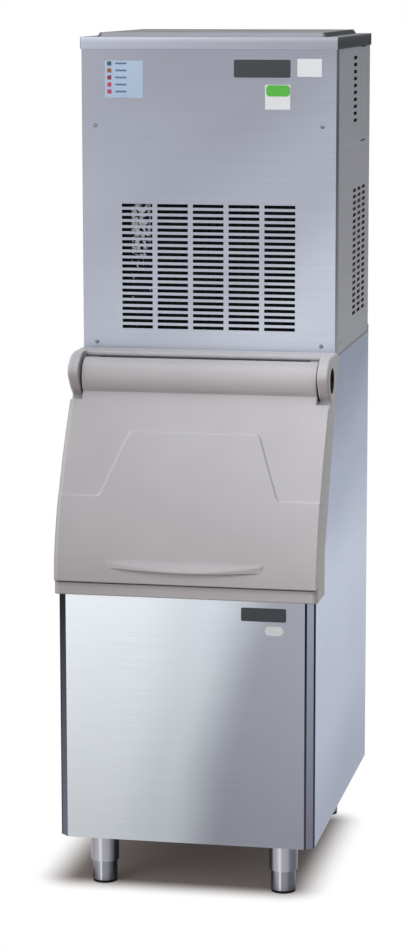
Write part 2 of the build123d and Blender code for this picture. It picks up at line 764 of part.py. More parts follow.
# Angle posts in the four corners, from the pan's floor up to the lid.
post_wall = 2.0
with BuildPart() as corner_posts:
    with BuildSketch(Plane.XY.offset(bin_top + deck_thickness)):
        for sx in (-1, 1):
            for edge, sy in ((head_front + sheet + deck_thickness, 1),
                             (head_rear - sheet - deck_thickness, -1)):
                side_x = sx * (half - sheet - deck_thickness)
                with Locations((side_x - sx * post_size / 2, edge + sy * post_wall / 2)):
                    Rectangle(post_size, post_wall)
                with Locations((side_x - sx * post_wall / 2, edge + sy * post_size / 4)):
                    Rectangle(post_wall, post_size / 2)
    extrude(amount=panel_height - deck_thickness)
    with BuildSketch(Plane.XZ.offset(-head_front - 8)):
        with Locations(*screw_places):
            Circle(screw_radius)
    extrude(amount=8, mode=Mode.SUBTRACT)
corner_posts.part.label = "corner_posts"
export_step(corner_posts.part, "parts/corner_posts.step")

# Pan-head screws with a cross recess, through the front panel into the posts.
screw_head = 2.6
cross_width = 1.3
cross_length = 5.2
with BuildPart() as front_panel_screws:
    with BuildSketch(Plane.XZ.offset(-head_front)):
        with Locations(*screw_places):
            Circle(2.2 * screw_radius)
    extrude(amount=screw_head)
    fillet(front_panel_screws.edges().filter_by(GeomType.CIRCLE).group_by(Axis.Y)[0], 0.6 * screw_head)
    with BuildSketch(Plane.XZ.offset(screw_head - head_front)):
        with Locations(*screw_places):
            Rectangle(cross_length, cross_width)
            Rectangle(cross_width, cross_length)
    extrude(amount=-screw_head / 2, mode=Mode.SUBTRACT)
    with BuildSketch(Plane.XZ.offset(-head_front)):
        with Locations(*screw_places):
            Circle(screw_radius)
    extrude(amount=-9)
front_panel_screws.part.label = "front_panel_screws"
export_step(front_panel_screws.part, "parts/front_panel_screws.step")

box_front = head_front + 16
with BuildPart() as indicator_lenses:
    with BuildSketch(Plane.XZ.offset(-head_front + 0.6)):
        with Locations(*lens_places):
            Rectangle(lens_size, lens_size)
    extrude(amount=-(box_front - head_front + 0.6))
indicator_lenses.part.label = "indicator_lenses"
export_step(indicator_lenses.part, "parts/indicator_lenses.step")

# Refrigeration and ice-making machinery on the base pan
pan_top = bin_top + deck_thickness

# Finned condenser block between two end plates that stand on the pan.
core_y = head_front + condenser_gap + condenser_size[1] / 2
core_z = bin_top + condenser_low + condenser_size[2] / 2
fin_pitch = 19.0
fin_depth = 3.0
plate_wall = 2.0
with BuildPart() as condenser_core:
    with Locations((0, core_y, core_z)):
        Box(condenser_size[0], condenser_size[1] - 2 * fin_depth, condenser_size[2])
        with GridLocations(fin_pitch, 1, int(condenser_size[0] / fin_pitch), 1):
            Box(fin_pitch / 2, condenser_size[1], condenser_size[2])
    for side in (-1, 1):
        with Locations((side * (condenser_size[0] + plate_wall) / 2, core_y, pan_top)):
            Box(plate_wall, condenser_size[1], core_z + condenser_size[2] / 2 - pan_top,
                align=(Align.CENTER, Align.CENTER, Align.MIN))
condenser_core.part.label = "condenser_core"
export_step(condenser_core.part, "parts/condenser_core.step")

# Shroud behind the core: a shallow box with a round collar for the fan.
shroud_y = head_front + condenser_gap + condenser_size[1]
fan_gap = 7.0
with BuildPart() as fan_shroud:
    with Locations((0, shroud_y, core_z)):
        Box(condenser_size[0], shroud_depth, condenser_size[2], align=(Align.CENTER, Align.MIN, Align.CENTER))
        Box(condenser_size[0] - 2 * plate_wall, shroud_depth - plate_wall, condenser_size[2] - 2 * plate_wall,
            align=(Align.CENTER, Align.MIN, Align.CENTER), mode=Mode.SUBTRACT)
    with BuildSketch(Plane.XZ.offset(-(shroud_y + shroud_depth))):
        with Locations((0, core_z)):
            Circle(fan_radius + fan_gap + plate_wall)
    extrude(amount=-16)
    with BuildSketch(Plane.XZ.offset(-(shroud_y + shroud_depth + 16))):
        with Locations((0, core_z)):
            Circle(fan_radius + fan_gap)
    extrude(amount=16 + 2 * plate_wall, mode=Mode.SUBTRACT)
fan_shroud.part.label = "fan_shroud"
export_step(fan_shroud.part, "parts/fan_shroud.step")

shroud_back = shroud_y + shroud_depth
motor_front = shroud_back + 38
motor_back = motor_front + motor_length
shaft_radius = 5.0
with BuildPart() as fan_motor:
    with BuildSketch(Plane.XZ.offset(-motor_front)):
        with Locations((0, core_z)):
            Circle(motor_radius)
    extrude(amount=-motor_length)
    chamfer(fan_motor.edges().filter_by(GeomType.CIRCLE), 5)
    with BuildSketch(Plane.XZ.offset(-motor_front)):
        with Locations((0, core_z)):
            Circle(shaft_radius + running_gap)
    extrude(amount=-22, mode=Mode.SUBTRACT)
fan_motor.part.label = "fan_motor"
export_step(fan_motor.part, "parts/fan_motor.step")

# Strap bracket that reaches round the motor to the shroud.
strap = 3.0
strap_reach = condenser_size[2] / 2 - 1
with BuildPart() as fan_bracket:
    with BuildSketch(Plane.YZ):
        with BuildLine():
            Polyline((shroud_back, core_z + strap_reach), (motor_back + strap, core_z + strap_reach),
                     (motor_back + strap, core_z - strap_reach), (shroud_back, core_z - strap_reach),
                     (shroud_back, core_z - strap_reach + strap), (motor_back, core_z - strap_reach + strap),
                     (motor_back, core_z + strap_reach - strap), (shroud_back, core_z + strap_reach - strap),
                     close=True)
        make_face()
    extrude(amount=18, both=True)
fan_bracket.part.label = "fan_bracket"
export_step(fan_bracket.part, "parts/fan_bracket.step")

# Pitched sheet blades round a hub on the motor's shaft.
fan_y = shroud_back + 12
hub_radius = 24.0
hub_length = 22.0
blade_pitch = 32.0
with BuildPart() as fan_blades:
    with BuildSketch(Plane.XZ.offset(-(fan_y - hub_length / 2))):
        with Locations((0, core_z)):
            Circle(hub_radius)
    extrude(amount=-hub_length)
    with BuildSketch(Plane.XZ.offset(-fan_y)):
        with Locations((0, core_z)):
            Circle(shaft_radius)
    extrude(amount=-(motor_front + 20 - fan_y))
    for i in range(fan_blade_count):
        turn = 360 / fan_blade_count * i
        root = Plane(origin=(0, fan_y, core_z), z_dir=(1, 0, 0)).rotated((0, turn, 0))
        blade_plane = Plane(origin=root.origin + root.z_dir * (hub_radius - 5), x_dir=root.x_dir,
                            z_dir=root.z_dir)
        with BuildSketch(blade_plane):
            Rectangle(34, 2, rotation=blade_pitch + 18)
        tip_plane = Plane(origin=root.origin + root.z_dir * fan_radius, x_dir=root.x_dir, z_dir=root.z_dir)
        with BuildSketch(tip_plane):
            Rectangle(62, 2, rotation=blade_pitch - 12)
        loft()
fan_blades.part.label = "fan_blades"
export_step(fan_blades.part, "parts/fan_blades.step")

# Gear motor under the freezing barrel.
barrel_z = bin_top + barrel_low
gear_radius = 58.0
with BuildPart() as gear_motor:
    with BuildSketch(Plane.XY.offset(pan_top)):
        with Locations((barrel_x, barrel_y)):
            RectangleRounded(2 * gear_radius, 2 * gear_radius, 16)
    extrude(amount=12)
    with BuildSketch(Plane.XY.offset(pan_top + 12)):
        with Locations((barrel_x, barrel_y)):
            Circle(gear_radius - 2)
    extrude(amount=barrel_low - deck_thickness - 12 - 40)
    with BuildSketch(Plane.XY.offset(barrel_z - 40)):
        with Locations((barrel_x, barrel_y)):
            Circle(gear_radius - 14)
    extrude(amount=40)
    with BuildSketch(Plane.XY.offset(barrel_z)):
        with Locations((barrel_x, barrel_y)):
            Circle(auger_root - 4 + running_gap)
    extrude(amount=-24, mode=Mode.SUBTRACT)
gear_motor.part.label = "gear_motor"
export_step(gear_motor.part, "parts/gear_motor.step")

# Stainless barrel in which the ice freezes and is scraped off.
with BuildPart() as freezing_barrel:
    with BuildSketch(Plane.XY.offset(barrel_z)):
        with Locations((barrel_x, barrel_y)):
            Circle(barrel_radius)
            Circle(barrel_radius - barrel_wall, mode=Mode.SUBTRACT)
    extrude(amount=barrel_height)
freezing_barrel.part.label = "freezing_barrel"
export_step(freezing_barrel.part, "parts/freezing_barrel.step")

jacket_low = barrel_z + 32
with BuildPart() as barrel_jacket:
    with BuildSketch(Plane.XY.offset(jacket_low)):
        with Locations((barrel_x, barrel_y)):
            Circle(jacket_radius)
            Circle(barrel_radius, mode=Mode.SUBTRACT)
    extrude(amount=barrel_height - 32)
barrel_jacket.part.label = "barrel_jacket"
export_step(barrel_jacket.part, "parts/barrel_jacket.step")

# Auger: a round shaft with one helical flight, turned by the gear motor.
flight_radius = barrel_radius - barrel_wall - auger_clearance
flight_turns_height = barrel_height - 60
with BuildPart() as auger:
    with BuildSketch(Plane.XY.offset(barrel_z + 4)):
        with Locations((barrel_x, barrel_y)):
            Circle(auger_root)
    extrude(amount=barrel_height - 12)
    with BuildSketch(Plane.XY.offset(barrel_z - 20)):
        with Locations((barrel_x, barrel_y)):
            Circle(auger_root - 4)
    extrude(amount=24)
    with BuildLine(Plane((barrel_x, barrel_y, barrel_z + 20))) as flight_path:
        Helix(auger_pitch, flight_turns_height, auger_root - 2)
    with BuildSketch(Plane(flight_path.line @ 0, x_dir=(1, 0, 0), z_dir=flight_path.line % 0)):
        with Locations(((flight_radius - auger_root + 2) / 2, 0)):
            Rectangle(flight_radius - auger_root + 2, 6)
    sweep(path=flight_path.line, is_frenet=True)
auger.part.label = "auger"
export_step(auger.part, "parts/auger.step")

# Ice breaker cap that presses the flakes into nuggets and turns them out sideways.
cap_height = 44.0
chute_high = barrel_z + barrel_height + cap_height + 8
spout_size = (58.0, 40.0)
spout_z = barrel_z + barrel_height + 4 + spout_size[1] / 2
chute_right = chute_x + chute_size[0] / 2
with BuildPart() as ice_breaker:
    with BuildSketch(Plane.XY.offset(barrel_z + barrel_height)):
        with Locations((barrel_x, barrel_y)):
            Circle(barrel_radius + 8)
    extrude(amount=cap_height)
    with BuildSketch(Plane.YZ.offset(chute_right + chute_wall)):
        with Locations((barrel_y, spout_z)):
            Rectangle(*spout_size)
    extrude(amount=barrel_x - chute_right - chute_wall)
    with BuildSketch(Plane.YZ.offset(chute_right)):
        with Locations((barrel_y, spout_z)):
            Rectangle(spout_size[0] - 6, spout_size[1] - 6)
    extrude(amount=barrel_x - chute_right, mode=Mode.SUBTRACT)
    with BuildSketch(Plane.XY.offset(barrel_z + barrel_height - 1)):
        with Locations((barrel_x, barrel_y)):
            Circle(barrel_radius - barrel_wall - 4)
    extrude(amount=cap_height - 4, mode=Mode.SUBTRACT)
ice_breaker.part.label = "ice_breaker"
export_step(ice_breaker.part, "parts/ice_breaker.step")

# Chute from the spout down through the pan and deck into the bin.
with BuildPart() as ice_chute:
    with BuildSketch(Plane.XY.offset(bin_top - deck_thickness)):
        with Locations((chute_x, chute_y)):
            Rectangle(chute_size[0] + 2 * chute_wall, chute_size[1] + 2 * chute_wall)
    extrude(amount=chute_high - bin_top + deck_thickness)
    with BuildSketch(Plane.XY.offset(bin_top - deck_thickness)):
        with Locations((chute_x, chute_y)):
            Rectangle(*chute_size)
    extrude(amount=chute_high - bin_top + deck_thickness - chute_wall, mode=Mode.SUBTRACT)
    with BuildSketch(Plane.YZ.offset(chute_right)):
        with Locations((barrel_y, spout_z)):
            Rectangle(spout_size[0] - 6, spout_size[1] - 6)
    extrude(amount=chute_wall, mode=Mode.SUBTRACT)
ice_chute.part.label = "ice_chute"
export_step(ice_chute.part, "parts/ice_chute.step")

# Ice level sensors, one on each side of the chute.
with BuildPart() as level_sensors:
    for side in (-1, 1):
        with Locations((chute_x + side * (chute_size[0] + 2 * chute_wall + sensor_size[0]) / 2, chute_y,
                        bin_top + 60)):
            Box(*sensor_size)
level_sensors.part.label = "level_sensors"
export_step(level_sensors.part, "parts/level_sensors.step")

# Hermetic compressor: a drawn steel can with a domed top, on a foot plate.
comp_x = chute_x - chute_size[0] / 2 - chute_wall - sensor_size[0] - compressor_gap - compressor_radius
comp_y = head_rear - compressor_inset
grommet_height = 14.0
comp_low = pan_top + grommet_height
with BuildPart() as compressor:
    with BuildSketch(Plane(origin=(comp_x, comp_y, comp_low), x_dir=(1, 0, 0), z_dir=(0, -1, 0))):
        with BuildLine():
            foot_line = Line((0, 0), (compressor_radius - 22, 0))
            can = Line((compressor_radius, 22), (compressor_radius, compressor_height - 40))
            ThreePointArc(foot_line @ 1, (compressor_radius - 7, 8), can @ 0)
            dome = Bezier(can @ 1, (compressor_radius, compressor_height - 15),
                          (compressor_radius - 34, compressor_height), (0, compressor_height))
            Line(dome @ 1, (0, 0))
        make_face()
    revolve(axis=Axis((comp_x, comp_y, 0), (0, 0, 1)))
    with BuildSketch(Plane.XY.offset(comp_low)):
        with Locations((comp_x, comp_y)):
            RectangleRounded(2 * compressor_radius - 30, 2 * compressor_radius + 20, 14)
    extrude(amount=4)
compressor.part.label = "compressor"
export_step(compressor.part, "parts/compressor.step")

with BuildPart() as compressor_grommets:
    with BuildSketch(Plane.XY.offset(pan_top)):
        with Locations((comp_x, comp_y)):
            with GridLocations(2 * compressor_radius - 60, 2 * compressor_radius - 10, 2, 2):
                Circle(11)
    extrude(amount=grommet_height)
compressor_grommets.part.label = "compressor_grommets"
export_step(compressor_grommets.part, "parts/compressor_grommets.step")

# Water tank on the inside of the right panel, with its lid and float.
tank_x = half - sheet - tank_size[0] / 2
tank_y = head_front + 195
tank_low = bin_top + 345
tank_wall = 2.5
with BuildPart() as water_tank:
    with Locations((tank_x, tank_y, tank_low)):
        Box(*tank_size, align=(Align.CENTER, Align.CENTER, Align.MIN))
    with Locations((tank_x, tank_y, tank_low + tank_wall)):
        Box(tank_size[0] - 2 * tank_wall, tank_size[1] - 2 * tank_wall, tank_size[2],
            align=(Align.CENTER, Align.CENTER, Align.MIN), mode=Mode.SUBTRACT)
water_tank.part.label = "water_tank"
export_step(water_tank.part, "parts/water_tank.step")

tank_top = tank_low + tank_size[2]
pivot_radius = 2.0
pivot_place = (tank_x + 38, tank_y, tank_top - 16)
ear_gap = 14.0
with BuildPart() as tank_lid:
    with Locations((tank_x, tank_y, tank_top)):
        Box(tank_size[0], tank_size[1], tank_wall, align=(Align.CENTER, Align.CENTER, Align.MIN))
    for side in (-1, 1):
        with Locations((pivot_place[0], tank_y + side * (ear_gap / 2 + 1.5), tank_top - 22)):
            Box(10, 3, 22, align=(Align.CENTER, Align.CENTER, Align.MIN))
    with BuildSketch(Plane.XZ.offset(-(tank_y - ear_gap / 2 - 3))):
        with Locations((pivot_place[0], pivot_place[2])):
            Circle(pivot_radius + running_gap)
    extrude(amount=-(ear_gap + 6), mode=Mode.SUBTRACT)
tank_lid.part.label = "tank_lid"
export_step(tank_lid.part, "parts/tank_lid.step")

float_size = (34.0, 40.0, 22.0)
with BuildPart() as float_arm:
    with BuildSketch(Plane.XZ.offset(-(tank_y - ear_gap / 2 - 3))):
        with Locations((pivot_place[0], pivot_place[2])):
            Circle(pivot_radius)
    extrude(amount=-(ear_gap + 6))
    with BuildSketch(Plane.XZ.offset(-(tank_y - 3))):
        with BuildLine():
            Polyline((pivot_place[0] + 5, pivot_place[2] + 4), (pivot_place[0] - 62, pivot_place[2] - 8),
                     (pivot_place[0] - 62, pivot_place[2] - 14), (pivot_place[0] + 5, pivot_place[2] - 4),
                     close=True)
        make_face()
    extrude(amount=-6)
    with Locations((pivot_place[0] - 58, tank_y, pivot_place[2] - 24)):
        Box(*float_size)
float_arm.part.label = "float_arm"
export_step(float_arm.part, "parts/float_arm.step")

# Cross rail between the side panels, for the control box.
rail_low = bin_top + 428
rail_depth = 54.0
rail_lip = 20.0
rail_gauge = 2.0
rail_front = head_front + 6
rail_back = rail_front + rail_depth
with BuildPart() as cross_rail:
    with BuildSketch(Plane.YZ.offset(-half + sheet)):
        with BuildLine():
            Polyline((rail_front, rail_low), (rail_back, rail_low), (rail_back, rail_low - rail_lip),
                     (rail_back + rail_gauge, rail_low - rail_lip),
                     (rail_back + rail_gauge, rail_low + rail_gauge),
                     (rail_front, rail_low + rail_gauge), close=True)
        make_face()
    extrude(amount=width - 2 * sheet)
    for side in (-1, 1):
        with Locations((side * (half - sheet), head_front, rail_low)):
            Box(2 * post_size + 4, 2 * (front_return + 4), 10, mode=Mode.SUBTRACT)
cross_rail.part.label = "cross_rail"
export_step(cross_rail.part, "parts/cross_rail.step")

# Control box on the rail, open to the front, with its cover.
box_x = lens_x + control_box_size[0] / 2 - 20
box_low = rail_low + rail_gauge
box_wall = 1.5
with BuildPart() as control_box:
    with Locations((box_x, box_front + box_wall, box_low)):
        Box(control_box_size[0], control_box_size[1] - box_wall, control_box_size[2],
            align=(Align.CENTER, Align.MIN, Align.MIN))
    with Locations((box_x, box_front + box_wall, box_low + box_wall)):
        Box(control_box_size[0] - 2 * box_wall, control_box_size[1] - 2 * box_wall,
            control_box_size[2] - 2 * box_wall, align=(Align.CENTER, Align.MIN, Align.MIN),
            mode=Mode.SUBTRACT)
control_box.part.label = "control_box"
export_step(control_box.part, "parts/control_box.step")

with BuildPart() as control_cover:
    with Locations((box_x, box_front, box_low)):
        Box(control_box_size[0], box_wall, control_box_size[2], align=(Align.CENTER, Align.MIN, Align.MIN))
control_cover.part.label = "control_cover"
export_step(control_cover.part, "parts/control_cover.step")

# Service fittings through the rear panel
inner_back = head_rear - sheet


def fitting(name, place, radius, bore, flange):
    """A turned fitting through the rear panel: outer spigot, a flange on each side and a through bore."""
    with BuildPart() as piece:
        with BuildSketch(Plane.XZ.offset(-inner_back)):
            with Locations(place):
                Circle(radius)
        extrude(amount=-(sheet + fitting_reach))
        with BuildSketch(Plane.XZ.offset(-inner_back)):
            with Locations(place):
                Circle(flange)
        extrude(amount=fitting_collar[0])
        with BuildSketch(Plane.XZ.offset(-head_rear)):
            with Locations(place):
                Circle(flange)
        extrude(amount=-fitting_collar[1])
        with BuildSketch(Plane.XZ.offset(-(inner_back - fitting_collar[0]))):
            with Locations(place):
                Circle(bore)
        extrude(amount=-(fitting_collar[0] + sheet + fitting_reach), mode=Mode.SUBTRACT)
    piece.part.label = name
    export_step(piece.part, f"parts/{name}.step")


fitting("water_inlet", inlet_place, inlet_radius, 8, inlet_radius + 5)
fitting("drain_spigot", spigot_place, drain_radius, 7, drain_radius + 5)
fitting("cord_gland", gland_place, gland_radius, 4.5, gland_radius + 5)


def tube(radius, bend, points):
    """A bent copper tube or hose along straight runs joined by arcs."""
    with BuildPart() as piece:
        with BuildLine() as route:
            FilletPolyline(*points, radius=bend)
        with BuildSketch(Plane(route.line @ 0, z_dir=route.line % 0)):
            Circle(radius)
        sweep(path=route.line)
    return piece.part


line_radius = 4.0
line_bend = 14.0
over_core = core_z + condenser_size[2] / 2
jacket_back = barrel_y + jacket_radius
drier_x = condenser_size[0] / 2 + plate_wall + 22
drier_y = (core_y + 90, core_y + 180)
liquid_z = bin_top + 60
discharge_line = tube(line_radius, line_bend, [
    (comp_x, comp_y, comp_low + compressor_height),
    (comp_x, comp_y, over_core + 40),
    (comp_x, core_y, over_core + 40),
    (comp_x, core_y, over_core),
])
condenser_outlet = tube(line_radius, 12, [
    (condenser_size[0] / 2 + plate_wall, core_y, liquid_z),
    (drier_x, core_y, liquid_z),
    (drier_x, drier_y[0], liquid_z),
])
liquid_line = tube(line_radius, 12, [
    (drier_x, drier_y[1], liquid_z),
    (drier_x, barrel_y - 88, liquid_z),
    (drier_x, barrel_y - 88, jacket_low + 24),
    (barrel_x, barrel_y - 88, jacket_low + 24),
    (barrel_x, barrel_y - jacket_radius, jacket_low + 24),
])
suction_line = tube(line_radius + 1, line_bend, [
    (barrel_x, jacket_back, jacket_low + 200),
    (barrel_x, jacket_back + 28, jacket_low + 200),
    (barrel_x, jacket_back + 28, bin_top + 110),
    (comp_x, jacket_back + 28, bin_top + 110),
    (comp_x, comp_y + compressor_radius, bin_top + 110),
])
with BuildPart() as copper_lines:
    add(discharge_line)
    add(condenser_outlet)
    add(liquid_line)
    add(suction_line)
copper_lines.part.label = "copper_lines"
export_step(copper_lines.part, "parts/copper_lines.step")

with BuildPart() as filter_drier:
    with BuildSketch(Plane.XZ.offset(-drier_y[0])):
        with Locations((drier_x, liquid_z)):
            Circle(15)
    extrude(amount=-(drier_y[1] - drier_y[0]))
    chamfer(filter_drier.edges().filter_by(GeomType.CIRCLE), 6)
filter_drier.part.label = "filter_drier"
export_step(filter_drier.part, "parts/filter_drier.step")

hose_z = barrel_z + 14
hose_x = tank_x - tank_size[0] / 2 + 16
water_hose = tube(7, 20, [
    (hose_x, tank_y, tank_low),
    (hose_x, tank_y, hose_z),
    (barrel_x, tank_y + 75, hose_z),
    (barrel_x, barrel_y - barrel_radius, hose_z),
])
water_hose.label = "water_hose"
export_step(water_hose, "parts/water_hose.step")
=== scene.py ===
"""Finishes of a nugget ice machine on its storage bin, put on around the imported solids."""

import math

import bmesh
import bpy
from mathutils import Matrix, Vector


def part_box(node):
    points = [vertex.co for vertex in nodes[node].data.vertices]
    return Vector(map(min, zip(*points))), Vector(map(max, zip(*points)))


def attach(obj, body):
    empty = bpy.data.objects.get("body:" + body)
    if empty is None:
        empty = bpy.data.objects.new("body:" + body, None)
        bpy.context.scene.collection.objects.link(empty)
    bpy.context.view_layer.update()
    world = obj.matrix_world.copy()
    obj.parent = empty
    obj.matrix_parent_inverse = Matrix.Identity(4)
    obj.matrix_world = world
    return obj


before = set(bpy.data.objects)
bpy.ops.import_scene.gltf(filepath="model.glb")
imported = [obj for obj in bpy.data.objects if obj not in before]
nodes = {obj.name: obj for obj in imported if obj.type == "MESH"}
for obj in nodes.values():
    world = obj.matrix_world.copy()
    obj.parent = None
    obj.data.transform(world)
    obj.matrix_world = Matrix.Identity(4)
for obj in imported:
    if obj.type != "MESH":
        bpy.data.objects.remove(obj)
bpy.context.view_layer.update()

# Camera: a long lens, eleven degrees round to the machine's right and ten degrees down on it.
camera_place = Vector((1.20403, -6.24259, 1.95687))
camera_yaw, camera_pitch, camera_roll = 0.1964, 0.1746, -0.0015
ahead = Vector((-math.sin(camera_yaw) * math.cos(camera_pitch),
                math.cos(camera_yaw) * math.cos(camera_pitch), -math.sin(camera_pitch)))
level = Vector((math.cos(camera_yaw), math.sin(camera_yaw), 0))
above = level.cross(ahead)
across = math.cos(camera_roll) * level + math.sin(camera_roll) * above
upward = math.cos(camera_roll) * above - math.sin(camera_roll) * level
camera_data = bpy.data.cameras.new("camera")
camera_data.sensor_width = 36.0
camera_data.lens = 108.95  # millimetres
camera_data.shift_x = 0.0005
camera_data.shift_y = 0.0156
camera_data.clip_start = 0.1
camera_data.clip_end = 200.0
camera = bpy.data.objects.new("camera", camera_data)
camera.matrix_world = Matrix((
    (across.x, upward.x, -ahead.x, camera_place.x),
    (across.y, upward.y, -ahead.y, camera_place.y),
    (across.z, upward.z, -ahead.z, camera_place.z),
    (0, 0, 0, 1)))
bpy.context.scene.collection.objects.link(camera)
bpy.context.scene.camera = camera
bpy.context.scene.view_settings.view_transform = "Standard"


# Studio: a white room round the machine, three large soft lamps, and a pale floor that keeps the
# shadow. The camera and the bright metal both see the room as white, while it lights more gently.
def linear(colour):
    """The linear red, green, blue and alpha of an sRGB hex colour."""
    parts = [int(colour[i:i + 2], 16) / 255 for i in (1, 3, 5)]
    return [p / 12.92 if p <= 0.04045 else ((p + 0.055) / 1.055) ** 2.4 for p in parts] + [1.0]


def add_node(tree, kind, inputs=(), **settings):
    """Adds a shader node with its settings.

    inputs gives each socket a value, or the output that feeds it."""
    node = tree.nodes.new("ShaderNode" + kind)
    for name, value in settings.items():
        setattr(node, name, value)
    for socket, value in dict(inputs).items():
        if isinstance(value, bpy.types.NodeSocket):
            tree.links.new(value, node.inputs[socket])
        else:
            node.inputs[socket].default_value = value
    return node


def seen_or_mirrored(tree):
    """1 where the eye sees the spot, directly or in metal or glass, and 0 where it only lights."""
    rays = add_node(tree, "LightPath")
    seen = add_node(tree, "Math", {0: rays.outputs["Is Camera Ray"],
                                   1: rays.outputs["Is Glossy Ray"]}, operation="MAXIMUM")
    seen = add_node(tree, "Math", {0: seen.outputs[0], 1: rays.outputs["Is Transmission Ray"]},
                    operation="MAXIMUM")
    return seen.outputs[0]


room_light = 0.34
world = bpy.data.worlds.new("white room")
world.use_nodes = True
bpy.context.scene.world = world
tree = world.node_tree
tree.nodes.clear()
strength = add_node(tree, "MapRange", {"Value": seen_or_mirrored(tree), "To Min": room_light})
wall = add_node(tree, "Background", {"Color": linear("#FFFFFF"),
                                     "Strength": strength.outputs["Result"]})
add_node(tree, "OutputWorld", {"Surface": wall.outputs[0]})

lamp_power = 26
lamp_aim = Vector((0, 0, 0.9))
for name, place, size in (("left lamp", (-2.2, -3.4, 1.7), 2.2),
                          ("right lamp", (1.0, -2.0, 2.9), 1.2),
                          ("top lamp", (0.0, -0.4, 3.9), 2.4)):
    lamp_data = bpy.data.lights.new(name, "AREA")
    lamp_data.shape = "SQUARE"
    lamp_data.size = size
    lamp_data.energy = lamp_power
    lamp = bpy.data.objects.new(name, lamp_data)
    lamp.location = place
    lamp.rotation_euler = (lamp_aim - Vector(place)).to_track_quat("-Z", "Y").to_euler()
    bpy.context.scene.collection.objects.link(lamp)

floor_radius, floor_drop = 30, 0.0005
floor_mesh = bpy.data.meshes.new("floor")
shape = bmesh.new()
bmesh.ops.create_circle(shape, cap_ends=True, segments=64, radius=floor_radius)
shape.to_mesh(floor_mesh)
shape.free()
floor = bpy.data.objects.new("floor", floor_mesh)
floor.location.z = -floor_drop
bpy.context.scene.collection.objects.link(floor)

# Its matt paint shows the shadow near the machine, and further off fades into the white room. The
# paint is a mid warm grey, which deepens the lamps' shadow under the machine: painted shade. The
# shadow shows only within a box round the machine, with an edge that fades over 0.11 m.
shade_centre, shade_half, shade_fade = (-0.03, -0.02, 0.0), (0.23, 0.26, 0.0), 0.11
floor_paint = bpy.data.materials.new("matt white studio floor")
floor_paint.use_nodes = True
tree = floor_paint.node_tree
tree.nodes.clear()
spot = add_node(tree, "TexCoord")
aside = add_node(tree, "VectorMath", {0: spot.outputs["Object"], 1: shade_centre},
                 operation="SUBTRACT")
aside = add_node(tree, "VectorMath", {0: aside.outputs[0]}, operation="ABSOLUTE")
aside = add_node(tree, "VectorMath", {0: aside.outputs[0], 1: shade_half}, operation="SUBTRACT")
aside = add_node(tree, "VectorMath", {0: aside.outputs[0], 1: (0.0, 0.0, 0.0)}, operation="MAXIMUM")
reach = add_node(tree, "VectorMath", {0: aside.outputs[0]}, operation="LENGTH")
away = add_node(tree, "MapRange", {"Value": reach.outputs["Value"], "From Max": shade_fade},
                interpolation_type="SMOOTHSTEP")
share = add_node(tree, "Math", {0: seen_or_mirrored(tree), 1: away.outputs["Result"]},
                 operation="MULTIPLY")
paint = add_node(tree, "BsdfDiffuse", {"Color": linear("#C0B2AC")})
glow = add_node(tree, "Emission", {"Color": linear("#FFFFFF"), "Strength": 1.0})
both = add_node(tree, "MixShader", {0: share.outputs[0], 1: paint.outputs[0], 2: glow.outputs[0]})
add_node(tree, "OutputMaterial", {"Surface": both.outputs[0]})
floor_mesh.materials.append(floor_paint)


# Bin wrapper: one stainless sheet folded round the front and both sides, with bevelled corners.
# It is brushed along its length, so fine level lines run round the front and the sides.
def new_finish(name):
    """A new material, its node tree and its shader."""
    made = bpy.data.materials.new(name)
    made.use_nodes = True
    return made, made.node_tree, made.node_tree.nodes["Principled BSDF"]


def put_on(finish, *names):
    """Gives the whole of each named solid one finish."""
    for name in names:
        nodes[name].data.materials.clear()
        nodes[name].data.materials.append(finish)


